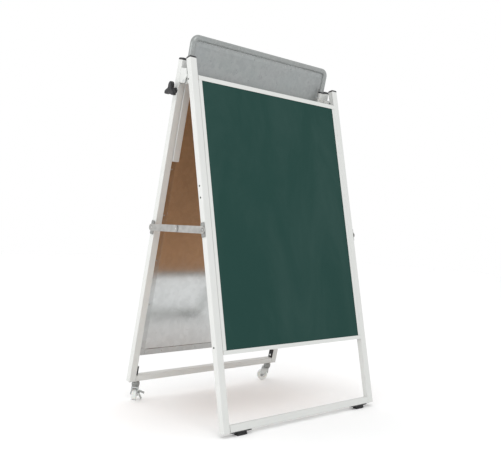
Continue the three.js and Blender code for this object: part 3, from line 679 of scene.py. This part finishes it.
for side, _ in SIDES:
    node = f"{side}_foot_plate"
    low, high = extent(node, FRONT)
    mid, size = middle(low, high), high - low
    bm = bmesh.new()
    prism(bm, rounded(size.x, size.y, FOOT_CORNER, (mid.x, mid.y), 6), "z", low.z, high.z)
    piece(f"{node}_moulding", bm, FRONT, "front_frame", BLACK, [node], edge=0.5)
    bm = bmesh.new()
    reach = size.x / 2 - FOOT_SCREW_INSET
    for offset in (-reach, reach):
        screw_head(bm, FOOT_SCREW, "z", (mid.x + offset, mid.y), low.z, -1)
    piece(f"{node}_screws", bm, FRONT, "front_frame", ZINC, edge=0.1)

    # The pad is cut to lie flat on the floor
    node = f"{side}_foot_pad"
    low, high = extent(node, FRONT)
    slope = math.tan(LEAN) * (high.y - low.y)
    outline = [(low.y, high.z), (high.y, high.z), (high.y, low.z + slope), (low.y, low.z)]
    core = [
        (low.y + PAD_CORE_IN, high.z - PAD_CORE_DOWN),
        (high.y - PAD_CORE_IN, high.z - PAD_CORE_DOWN),
        (high.y - PAD_CORE_IN, low.z + slope + PAD_CORE_UP),
        (low.y + PAD_CORE_IN, low.z + PAD_CORE_UP),
    ]
    bm = bmesh.new()
    pitch = (high.x - low.x) / PAD_RIBS
    for rib in range(PAD_RIBS):
        start = low.x + rib * pitch
        prism(bm, outline, "x", start + PAD_RIB_START, start + pitch - PAD_RIB_END)
    prism(bm, core, "x", low.x, high.x)
    piece(f"{node}_ribbed", bm, FRONT, "front_frame", RUBBER, [node], edge=0.3)

# --------------------------------------------------------------- rear panel

# The hems' spot rivets: radius and height of a head, and places as shares of a hem's length
HEM_RIVET = (2.4, 0.9)
SIDE_RIVETS = (0.04, 0.27, 0.5, 0.73, 0.96)
BOTTOM_RIVETS = (0.12, 0.37, 0.63, 0.88)

# The corner block's screw, how far its head is sunk, and its height as a share of the block's
BLOCK_SCREW = (4.2, 1.5)
BLOCK_SCREW_SUNK = 0.3
BLOCK_SCREW_SHARE = 0.3


def folded_hem(node, axis, material):
    """A folded edge strip: a web towards the front frame and two flanges."""
    low, high = extent(node, REAR)
    if axis == "z":
        a, b, start, end = low.x, high.x, low.z, high.z
    else:
        a, b, start, end = low.z, high.z, low.x, high.x
    section = [
        (a, low.y),
        (b, low.y),
        (b, high.y),
        (b - WALL, high.y),
        (b - WALL, low.y + WALL),
        (a + WALL, low.y + WALL),
        (a + WALL, high.y),
        (a, high.y),
    ]
    if axis == "x":
        section = [(y, z) for z, y in section]
    bm = bmesh.new()
    prism(bm, section, axis, start, end)
    return piece(f"{node}_fold", bm, REAR, "rear_frame", material, [node], edge=0.5, segments=3)


folded_hem("rear_left_channel", "z", HEM_PAINTED_SHADE)
folded_hem("rear_right_channel", "z", HEM_PAINTED_SHADE)
folded_hem("rear_bottom_channel", "x", HEM_PAINTED_SHADE)
folded_hem("rear_top_rail", "x", WHITE)
plain("white_panel", "whiteboard_sheet", REAR, "rear_frame", ENAMEL, 0.2)
plain("backing_panel", "rear_backing_sheet", REAR, "rear_frame", BRIGHT, 0.15)

# The spot rivets are on the side that faces the front frame
bm = bmesh.new()
for side, _ in SIDES:
    low, high = extent(f"rear_{side}_channel", REAR)
    for share in SIDE_RIVETS:
        height = low.z + (high.z - low.z) * share
        rivet_head(bm, HEM_RIVET, "y", ((low.x + high.x) / 2, height), low.y, -1)
low, high = extent("rear_bottom_channel", REAR)
for share in BOTTOM_RIVETS:
    x = low.x + (high.x - low.x) * share
    rivet_head(bm, HEM_RIVET, "y", (x, (low.z + high.z) / 2), low.y, -1)
piece("rear_hem_rivets", bm, REAR, "rear_frame", ZINC, edge=0)

for side, sign in SIDES:
    node = f"rear_{side}_bumper"
    low, high = extent(node, REAR)
    plain(f"{node}_block", node, REAR, "rear_frame", RUBBER, 0.7, 3)
    inner = flanks(node, REAR, sign)[1]
    bm = bmesh.new()
    centre = ((low.y + high.y) / 2, low.z + (high.z - low.z) * BLOCK_SCREW_SHARE)
    screw_head(bm, BLOCK_SCREW, "x", centre, inner + sign * BLOCK_SCREW_SUNK, -sign)
    piece(f"{node}_screw", bm, REAR, "rear_frame", BRIGHT_SCREW, edge=0.1)

# ------------------------------------------------------------------- header

tube_low, tube_high = extent("header_tube", REAR)
tube_radius = (tube_high.y - tube_low.y) / 2
leg_x = tube_high.x - tube_radius
tube_y = (tube_high.y + tube_low.y) / 2
HEADER_BEND = 18
BEND_STEPS = 14


def swept(bm, path, radius, sides):
    """A round bar along a path in the XZ plane, given as (x, z) points."""
    rings = []
    last = len(path) - 1
    for i, (x, z) in enumerate(path):
        before, after = path[max(i - 1, 0)], path[min(i + 1, last)]
        into = Vector((x - before[0], z - before[1]))
        out = Vector((after[0] - x, after[1] - z))
        along = (into.normalized() + out.normalized()).normalized()
        stretch = 1.0 if i in (0, last) else 1.0 / along.dot(into.normalized())
        sideways = Vector((along.y, -along.x)) * stretch
        ring = []
        for a, b in circle(radius, sides):
            ring.append(Vector((x + sideways.x * a, tube_y + b, z + sideways.y * a)))
        rings.append(ring)
    loft(bm, rings)


bend_z = tube_high.z - tube_radius - HEADER_BEND
bend_x = leg_x - HEADER_BEND
path = [(-leg_x, tube_low.z)]
path += circle(HEADER_BEND, BEND_STEPS, (-bend_x, bend_z), math.pi, -QUARTER)
path += circle(HEADER_BEND, BEND_STEPS, (bend_x, bend_z), QUARTER, -QUARTER)
path += [(leg_x, tube_low.z)]
bm = bmesh.new()
swept(bm, path, tube_radius, 32)
piece("header_bent_tube", bm, REAR, "header", TUBE, ["header_tube"], edge=0.6)

# The hem round the sheet: its width, how far it stands proud of the sheet, how far it reaches into
# the sheet, how far its strips overlap, and how far the top strip lies behind the side strips
HEM_WIDTH = 14
HEM_PROUD = 0.4
HEM_SEAT = 0.2
HEM_OVERLAP = 3
TOP_STRIP_DROP = 0.1
COLLAR_CLEARANCE = 1

panel_low, panel_high = extent("header_panel", REAR)
notch = extent("rear_top_rail", REAR)[1].x
notch_top = extent("left_sleeve_collar", REAR)[1].z + COLLAR_CLEARANCE
field_y = panel_low.y + HEM_PROUD
corner = HEADER_BEND - tube_radius
half, top, foot = panel_high.x, panel_high.z, panel_low.z
outline = [(notch, foot), (notch, notch_top), (half, notch_top)]
outline += circle(corner, 6, (half - corner, top - corner), 0, QUARTER)
outline += circle(corner, 6, (-half + corner, top - corner), QUARTER, QUARTER)
outline += [(-half, notch_top), (-notch, notch_top), (-notch, foot)]
bm = bmesh.new()
prism(bm, outline, "y", field_y, panel_high.y)
piece("header_sheet", bm, REAR, "header", SPANGLE, ["header_panel"], edge=0.15)

# Folded hem: two side strips that overlap the top strip
bm = bmesh.new()
seat_y = field_y + HEM_SEAT
end = half - HEM_WIDTH + HEM_OVERLAP
block(bm, (-end, panel_low.y + TOP_STRIP_DROP, top - HEM_WIDTH), (end, seat_y, top))
for _, sign in SIDES:
    strip = [(half - HEM_WIDTH, foot), (notch, foot), (notch, notch_top), (half, notch_top)]
    strip += circle(corner, 6, (half - corner, top - corner), 0, QUARTER)
    strip += [(half - HEM_WIDTH, top)]
    prism(bm, [(sign * x, z) for x, z in strip], "y", panel_low.y, seat_y)
piece("header_hem", bm, REAR, "header", HEADER_HEM, edge=0.12)

# The header's spot rivets: two up each side strip, and five along the top strip
HEADER_RIVET = (2.3, 0.8)
HEADER_RIVET_PITCH = 100
SIDE_RIVET_RISE = 9
SIDE_RIVET_DROP = 12
TOP_RIVET_SEAT = 0.15

bm = bmesh.new()
for _, sign in SIDES:
    for height in (notch_top + SIDE_RIVET_RISE, top - SIDE_RIVET_DROP):
        rivet_head(bm, HEADER_RIVET, "y", (sign * (half - HEM_WIDTH / 2), height), panel_low.y, -1)
for step in range(-2, 3):
    centre = (step * HEADER_RIVET_PITCH, top - HEM_WIDTH / 2)
    rivet_head(bm, HEADER_RIVET, "y", centre, panel_low.y + TOP_RIVET_SEAT, -1)
piece("header_rivets", bm, REAR, "header", ZINC, edge=0)

SLEEVE_BORE = 9.75
SLEEVE_CORNER = 1.5
SLEEVE_FACET = 1.6

for side, sign in SIDES:
    for node, material, slot in (
        (f"{side}_header_sleeve", WHITE, "white_paint"),
        (f"{side}_sleeve_collar", BLACK, "black_plastic"),
    ):
        low, high = extent(node, REAR)
        mid, size = middle(low, high), high - low
        outer = dense(rounded(size.x, size.y, SLEEVE_CORNER, (mid.x, mid.y), 4), SLEEVE_FACET)
        inner = bore_of(outer, SLEEVE_BORE, (sign * leg_x, tube_y))
        bm = bmesh.new()
        pipe(bm, outer, inner, "z", low.z, high.z)
        piece(f"{node}_body", bm, REAR, "rear_frame", material, [node], edge=0.25)

# -------------------------------------------------------------------- knobs

KNOB_LOBES = 3
KNOB_REACH = 25.3
KNOB_WAIST = 9.6
KNOB_DEPTH = 15
LOBE_SHARPNESS = 1.7

# The grip's rings: distance out from its inner face, and share of its full outline
KNOB_RINGS = ((0, 0.9), (1.2, 0.98), (3, 1.0), (11.4, 1.0), (13.4, 0.97), (14.4, 0.88))

# The neck's rings: radius, and distance out from the post's face
KNOB_NECK = ((9, GAP), (9, 4), (7.5, 6))

# The stud's end in the grip: radius, and distance in from the tip
KNOB_STUD = ((3.2, 1.2), (3.2, 0.3), (2.6, 0))


def lobed(radius, waist, centre, steps=120):
    """A smooth outline with three lobes, one of them pointing up."""
    points = []
    for step in range(steps):
        angle = FULL_TURN * step / steps
        wave = 0.5 + 0.5 * math.cos(KNOB_LOBES * (angle - QUARTER))
        reach = waist + (radius - waist) * wave ** LOBE_SHARPNESS
        points.append((centre[0] + reach * math.cos(angle), centre[1] + reach * math.sin(angle)))
    return points


for side, sign in SIDES:
    node = f"{side}_header_knob"
    high = extent(node, REAR)[1]
    face = flanks(f"rear_{side}_post", REAR, sign)[0]
    tip = flanks(node, REAR, sign)[0]
    centre = (tube_y, high.z - KNOB_REACH)
    start = tip - sign * KNOB_DEPTH
    rings = []
    for along, share in KNOB_RINGS:
        outline = lobed(KNOB_REACH * share, KNOB_WAIST * share, centre)
        rings.append([place("x", a, b, start + sign * along) for a, b in outline])
    neck = [(radius, face + sign * along) for radius, along in KNOB_NECK]
    # The neck ends 1 mm inside the grip
    neck.append((neck[-1][0], start + sign))
    bm = bmesh.new()
    loft(bm, rings)
    turned(bm, neck, "x", centre, 32)
    piece(f"{node}_grip", bm, REAR, f"{side}_knob", BLACK, [node], edge=0.3)
    bm = bmesh.new()
    turned(bm, [(radius, tip - sign * along) for radius, along in KNOB_STUD], "x", centre, 20)
    piece(f"{node}_stud", bm, REAR, f"{side}_knob", DARK, edge=0)

# ------------------------------------------------------------------- hinges

HINGE_EYE = 7
HINGE_HOLE = 2.8
HINGE_BASE = 2
HINGE_CORNER = 2
EAR_ROOT = 0.5

# The rear lug has two ears outside the front lug's tongue, given by their x from the middle
TONGUE_HALF = 4
EAR_NEAR = 9
EAR_FAR = 11.6

# How far each corner of an ear's upper edge lies beyond the fold axis, and its height
EAR_WING = ((12, 16), (4.8, 37.8))
TONGUE_WING = ((-10.7, 14.8),)
EAR_LEAN = math.pi / 3

# The bolt's shank, and the rings of its heads: radius, and distance in from the end
BOLT_SHANK = 2.5
BOLT_HEAD = ((3.2, 0), (4.0, 0.7), (4.0, 1.45), (BOLT_SHANK, 1.5))


def ear(bm, facing, base, lean, wing, start, end):
    """An ear with the pin's hole, which widens to its upper edge."""
    outline = circle(HINGE_EYE, 20, (0, 0), -QUARTER, -facing * (math.pi - lean))
    outline += [(-facing * reach, height) for reach, height in wing]
    outline += [(facing * base, wing[-1][1]), (facing * base, -HINGE_EYE)]
    outline = dense(outline, 1.2)
    pipe(bm, outline, bore_of(outline, HINGE_HOLE, (0, 0)), "x", start, end)


for side, _ in SIDES:
    pin = f"{side}_hinge_pin"
    pin_low, pin_high = extent(pin, FRONT)
    x = (pin_low.x + pin_high.x) / 2
    for (frame_name, space, body), facing in zip(FRAMES, (-1, 1)):
        node = f"{frame_name}_{side}_hinge_lug"
        low, high = extent(node, space)
        far = max(abs(low.y), abs(high.y))
        near = far - HINGE_BASE
        bm = bmesh.new()
        y0, y1 = sorted((facing * near, facing * far))
        centre = (x, (low.z + high.z) / 2)
        prism(bm, rounded(high.x - low.x, high.z - low.z, HINGE_CORNER, centre, 5), "y", y0, y1)
        base = near + EAR_ROOT
        if frame_name == "front":
            ear(bm, facing, base, 0, TONGUE_WING, x - TONGUE_HALF, x + TONGUE_HALF)
        else:
            ear(bm, facing, base, EAR_LEAN, EAR_WING, x - EAR_FAR, x - EAR_NEAR)
            ear(bm, facing, base, EAR_LEAN, EAR_WING, x + EAR_NEAR, x + EAR_FAR)
        piece(f"{node}_body", bm, space, body, WHITE, [node], edge=0.25)
    bm = bmesh.new()
    profile = [(radius, pin_low.x + along) for radius, along in BOLT_HEAD]
    profile += [(radius, pin_high.x - along) for radius, along in reversed(BOLT_HEAD)]
    turned(bm, profile, "x", (0, 0), 28)
    piece(f"{side}_hinge_bolt", bm, FRONT, "front_frame", PALE_STEEL, [pin], edge=0)

# -------------------------------------------------------------------- stays

STAY_THICK = 2
STAY_HALF = 11
STAY_PIN = 3.5
STAY_FACET = 2.5

# Each link's inner and outer face, as distances out from the front post
FRONT_LINK = (3.0, 3.0 + STAY_THICK)
REAR_LINK = (5.4, 5.4 + STAY_THICK)

LINK_RIVET = (STAY_PIN + 2.5, 1.7)
FRONT_PIN_HEAD = (STAY_PIN + 2.5, STAY_THICK)
BRACKET_RIVET = (2.6, 0.6)
BRACKET_RIVET_OFFSET = 16
BRACKET_THICK = 2
BRACKET_CORNER = 3
BOSS_RIM = 1.5


def level_point(joint):
    return (Vector(JOINTS[joint]["pos_m"]) - PIVOT) / MM


def link_bar(bm, y0, y1, z, start, end):
    """A flat bar with round ends, and a pin's hole at its front end."""
    outline = circle(STAY_HALF, 24, (y1, z), -QUARTER, math.pi)
    outline += circle(STAY_HALF, 24, (y0, z), QUARTER, math.pi)
    outline = dense(outline, STAY_FACET)
    pipe(bm, outline, bore_of(outline, STAY_PIN + GAP, (y0, z)), "x", start, end)


def round_bar(bm, radius, centre, start, end, steps):
    """A plain round pin or boss along X."""
    turned(bm, [(radius, start), (radius, end)], "x", centre, steps)


for side, sign in SIDES:
    z = level_point(f"{side}_rear_stay_fold").z
    reach = -level_point(f"{side}_front_stay_fold").y
    post_face = abs(flanks(f"front_{side}_post", FRONT, sign)[0])

    def out(distance):
        return sign * (post_face + distance)

    # The front link carries the pin that both links turn on
    node = f"{side}_front_stay"
    bm = bmesh.new()
    link_bar(bm, -reach, 0, z, out(FRONT_LINK[0]), out(FRONT_LINK[1]))
    round_bar(bm, STAY_PIN, (0, z), out(FRONT_LINK[0] + 0.5), out(REAR_LINK[1] + 0.35), 24)
    rivet_head(bm, LINK_RIVET, "x", (0, z), out(REAR_LINK[1] + GAP), sign, 28)
    piece(f"{node}_bar", bm, LEVEL, node, STAY, [f"{node}_link"], edge=0.3)

    node = f"{side}_rear_stay"
    bm = bmesh.new()
    link_bar(bm, 0, reach, z, out(REAR_LINK[0]), out(REAR_LINK[1]))
    rivet_head(bm, LINK_RIVET, "x", (reach, z), out(REAR_LINK[1]), sign, 28)
    piece(f"{node}_bar", bm, LEVEL, node, STAY, [f"{node}_link"], edge=0.3)

    # The front bracket has its link's pin, and the rear one a boss that stops short of its link
    for frame_name, space, body in FRAMES:
        node = f"{side}_{frame_name}_stay_bracket"
        low, high = extent(node, space)
        mid = middle(low, high)
        centre = (mid.y, mid.z)
        bm = bmesh.new()
        outline = rounded(high.y - low.y, high.z - low.z, BRACKET_CORNER, centre, 6)
        prism(bm, outline, "x", out(GAP), out(BRACKET_THICK + GAP))
        if frame_name == "front":
            round_bar(bm, STAY_PIN, centre, out(1), out(REAR_LINK[0] + 0.2), 24)
            rivet_head(bm, FRONT_PIN_HEAD, "x", centre, out(REAR_LINK[0]), sign, 28)
        else:
            round_bar(bm, STAY_PIN + BOSS_RIM, centre, out(1), out(FRONT_LINK[1] + 0.1), 28)
        for offset in (-BRACKET_RIVET_OFFSET, BRACKET_RIVET_OFFSET):
            spot = (mid.y, mid.z + offset)
            rivet_head(bm, BRACKET_RIVET, "x", spot, out(BRACKET_THICK + GAP), sign)
        piece(f"{node}_plate", bm, space, body, BRACKET, [node], edge=0.25)

# ------------------------------------------------------------------ casters

# The swivel head from top to bottom: radius, and height from the swivel joint
NECK_RINGS = (
    (9.2, -2.9),
    (10.6, -3.6),
    (12.4, -6.2),
    (13.1, -9.2),
    (13.2, -10.9),
    (12.5, -11.3),
    (12.5, -12.1),
    (13.2, -12.5),
    (13.2, -14.2),
    (12.4, -17.6),
    (10.8, -20.0),
    (9.4, -21.0),
)
FORK_INNER = 9.7
FORK_OUTER = 11.5
CROWN_TOP = -20.5
CROWN_FOOT = -24
CROWN_BACK = -9.5
CROWN_AHEAD = 6
CHEEK_FOOT = 6.5
AXLE_RADIUS = 3

# The nuts at the axle's ends: radius, and distance in from the end
NUT = ((5, 1.7), (5, 0.5), (4.3, 0))

# Half of a wheel's section, with distances in from its side: hub rings by radius, then rim rings by
# distance in from the tread
WHEEL_HUB = ((AXLE_RADIUS + GAP, 0.2), (7.4, 0), (8.2, 0.8), (8.6, 2.4))
WHEEL_RIM = ((5.6, 2.6), (5.0, 1.0), (3.4, 0), (2.0, 0.1), (0.7, 1.1), (0, 3.0))

# The brake rocker turns on a pin between two tabs that stand out from the fork's lug
ROCKER_X = FORK_OUTER + 4
ROCKER_HALF = 7
ROCKER_EYE = 3.2
ROCKER_PIN = 1.5
ROCKER_INSET = 0.5
TAB_THICK = 1.8
TAB_HALF = 2.5
LUG_DROP = 4
LUG_TOP = -23

# The rocker's arms, as x and z from its pin: a foot presses the upper one, and the lower one brakes
UPPER_ARM = ((-2.4, 2.5), (-2.2, 9.6), (17.6, 5.2), (17, 3), (1.4, 6.6), (2.0, 2.5))
LOWER_ARM = ((-1.8, -2.6), (0.2, -5), (9.6, -18.2), (11.6, -16.8), (3.4, -4.4), (1.9, -2.4))

for side, _ in SIDES:
    # This caster's own space: its Z is the swivel axis and its X is the wheel's axle
    swivel = JOINTS[f"{side}_caster_swivel"]
    spin = JOINTS[f"{side}_wheel_spin"]
    z_axis, x_axis = Vector(swivel["axis"]), Vector(spin["axis"])
    y_axis = z_axis.cross(x_axis)
    turn = Matrix((x_axis, y_axis, z_axis)).transposed().to_4x4()
    here = Matrix.Translation(Vector(swivel["pos_m"])) @ turn
    back = here.inverted()
    axle = (back @ Vector(spin["pos_m"])) / MM
    rock = (back @ Vector(JOINTS[f"{side}_brake_rock"]["pos_m"])) / MM
    hub = (axle.y, axle.z)

    node = f"{side}_caster_mount"
    low, high = extent(node, here)
    bm = bmesh.new()
    washer = [(10.4, low.z), (11, low.z + 0.5), (11, high.z - 0.6), (10.2, high.z - 0.2)]
    turned(bm, washer, "z", (0, 0), 36)
    piece(f"{node}_washer", bm, here, "rear_frame", ZINC, [node], edge=0)

    node = f"{side}_caster_fork"
    body = f"{side}_swivel"
    bm = bmesh.new()
    turned(bm, NECK_RINGS, "z", (0, 0), 44)
    piece(f"{node}_neck", bm, here, body, STEEL, [node], edge=0)

    bm = bmesh.new()
    ahead = axle.y + CROWN_AHEAD
    crown = [(-FORK_OUTER, CROWN_BACK), (FORK_OUTER, CROWN_BACK), (FORK_OUTER, ahead), (-FORK_OUTER, ahead)]
    prism(bm, crown, "z", CROWN_FOOT, CROWN_TOP)
    # The cheeks stop 0.1 mm under the crown's top, so that the two tops don't share a plane
    cheek_top = CROWN_TOP - 0.1
    cheek = [(CROWN_BACK, cheek_top), (CROWN_BACK, CROWN_FOOT), (axle.y - CHEEK_FOOT, axle.z)]
    cheek += circle(CHEEK_FOOT, 14, hub, math.pi, math.pi)[1:]
    cheek += [(ahead, CROWN_FOOT), (ahead, cheek_top)]
    for sign in (-1, 1):
        prism(bm, cheek, "x", sign * FORK_INNER, sign * FORK_OUTER)
    lug_reach = ROCKER_HALF + TAB_THICK
    block(bm, (FORK_INNER, -lug_reach, rock.z - LUG_DROP), (FORK_OUTER, lug_reach, LUG_TOP))
    for sign in (-1, 1):
        y0, y1 = sorted((sign * (ROCKER_HALF + GAP), sign * lug_reach))
        inner = (FORK_INNER + 0.5, y0, rock.z - TAB_HALF)
        block(bm, inner, (ROCKER_X + TAB_HALF, y1, rock.z + TAB_HALF))
    pin_end = lug_reach - 0.2
    turned(bm, [(ROCKER_PIN, -pin_end), (ROCKER_PIN, pin_end)], "y", (ROCKER_X, rock.z), 16)
    piece(f"{node}_cheeks", bm, here, body, PALE_STEEL, edge=0.4, segments=3)

    node = f"{side}_caster_axle"
    low, high = extent(node, here)
    bm = bmesh.new()
    turned(bm, [(AXLE_RADIUS, low.x + 1), (AXLE_RADIUS, high.x - 1)], "x", hub, 24)
    for sign, tip in ((-1, low.x), (1, high.x)):
        turned(bm, [(radius, tip - sign * along) for radius, along in NUT], "x", hub, 6)
    piece(f"{node}_bolt", bm, here, body, LEVER, [node], edge=0.15)

    node = f"{side}_caster_wheel"
    low, high = extent(node, here)
    wide, big = (high.x - low.x) / 2, (high.z - low.z) / 2
    profile = [(radius, -wide + inset) for radius, inset in WHEEL_HUB]
    profile += [(big - radius, -wide + inset) for radius, inset in WHEEL_RIM]
    tread = profile + [(radius, -x) for radius, x in reversed(profile)]
    bm = bmesh.new()
    turned(bm, tread, "x", hub, 56, cyclic=True)
    piece(f"{node}_tread", bm, here, f"{side}_wheel", NYLON, [node], edge=0)

    node = f"{side}_brake_rocker"
    bm = bmesh.new()
    centre = (ROCKER_X, rock.z)
    eye, hole = circle(ROCKER_EYE, 28, centre), circle(ROCKER_PIN + GAP, 28, centre)
    pipe(bm, eye, hole, "y", -ROCKER_HALF, ROCKER_HALF)
    for arm in (UPPER_ARM, LOWER_ARM):
        outline = [(centre[0] + a, centre[1] + b) for a, b in arm]
        prism(bm, outline, "y", -ROCKER_HALF + ROCKER_INSET, ROCKER_HALF - ROCKER_INSET)
    piece(f"{node}_lever", bm, here, f"{side}_brake", LEVER, [node], edge=0.5, segments=3)

# -------------------------------------------------------------------- stage

# Sizes and places on the stage are in metres
FLOOR = 9
LIGHT_AIM = Vector((0, 0, 0.6))
PURE_WHITE = (1.0, 1.0, 1.0, 1.0)

floor_mesh = bpy.data.meshes.new("floor")
corners = [(-FLOOR, -FLOOR, 0), (FLOOR, -FLOOR, 0), (FLOOR, FLOOR, 0), (-FLOOR, FLOOR, 0)]
floor_mesh.from_pydata(corners, [], [(0, 1, 2, 3)])
floor = bpy.data.objects.new("floor", floor_mesh)
bpy.context.scene.collection.objects.link(floor)
floor.location.z = cad_box[0][2]
pale = bpy.data.materials.new("pale_floor")
pale.use_nodes = True
pale.node_tree.nodes["Principled BSDF"].inputs["Base Color"].default_value = PURE_WHITE
pale.node_tree.nodes["Principled BSDF"].inputs["Roughness"].default_value = 0.9
floor_mesh.materials.append(pale)

world = bpy.data.worlds.new("studio")
world.use_nodes = True
world.node_tree.nodes["Background"].inputs["Color"].default_value = PURE_WHITE
world.node_tree.nodes["Background"].inputs["Strength"].default_value = 1.0
bpy.context.scene.world = world


def soft_light(name, where, size, power):
    """A square soft box turned to the middle of the board."""
    data = bpy.data.lights.new(name, "AREA")
    data.shape = "SQUARE"
    data.size = size
    data.energy = power
    lamp = bpy.data.objects.new(name, data)
    bpy.context.scene.collection.objects.link(lamp)
    lamp.location = Vector(where)
    aim = LIGHT_AIM - Vector(where)
    lamp.rotation_euler = aim.to_track_quat("-Z", "Y").to_euler()


soft_light("key_light", (-1.6, -3.2, 3.2), 2.2, 34)
soft_light("side_fill", (-3.0, 0.5, 0.5), 1.8, 27)

# ------------------------------------------------------------------- camera

# Where the camera stands from the fold axis, how it is turned, and its lens in millimetres
CAMERA_OFFSET = Vector((-1.6498, -1.7356, -0.4297))
CAMERA_YAW = math.radians(42.974)
CAMERA_PITCH = math.radians(-0.735)
CAMERA_ROLL = math.radians(2.51)
CAMERA_LENS = 51.30
CAMERA_SENSOR = 36

forward = Vector((
    math.sin(CAMERA_YAW) * math.cos(CAMERA_PITCH),
    math.cos(CAMERA_YAW) * math.cos(CAMERA_PITCH),
    math.sin(CAMERA_PITCH),
))
flat_right = Vector((math.cos(CAMERA_YAW), -math.sin(CAMERA_YAW), 0))
flat_up = flat_right.cross(forward)
right = flat_right * math.cos(CAMERA_ROLL) + flat_up * math.sin(CAMERA_ROLL)
up = flat_up * math.cos(CAMERA_ROLL) - flat_right * math.sin(CAMERA_ROLL)
camera_data = bpy.data.cameras.new("camera")
camera_data.lens = CAMERA_LENS
camera_data.sensor_width = CAMERA_SENSOR
camera = bpy.data.objects.new("camera", camera_data)
bpy.context.scene.collection.objects.link(camera)
turn = Matrix((right, up, -forward)).transposed().to_4x4()
camera.matrix_world = Matrix.Translation(PIVOT + CAMERA_OFFSET) @ turn
bpy.context.scene.camera = camera
bpy.context.scene.view_settings.view_transform = "Standard"
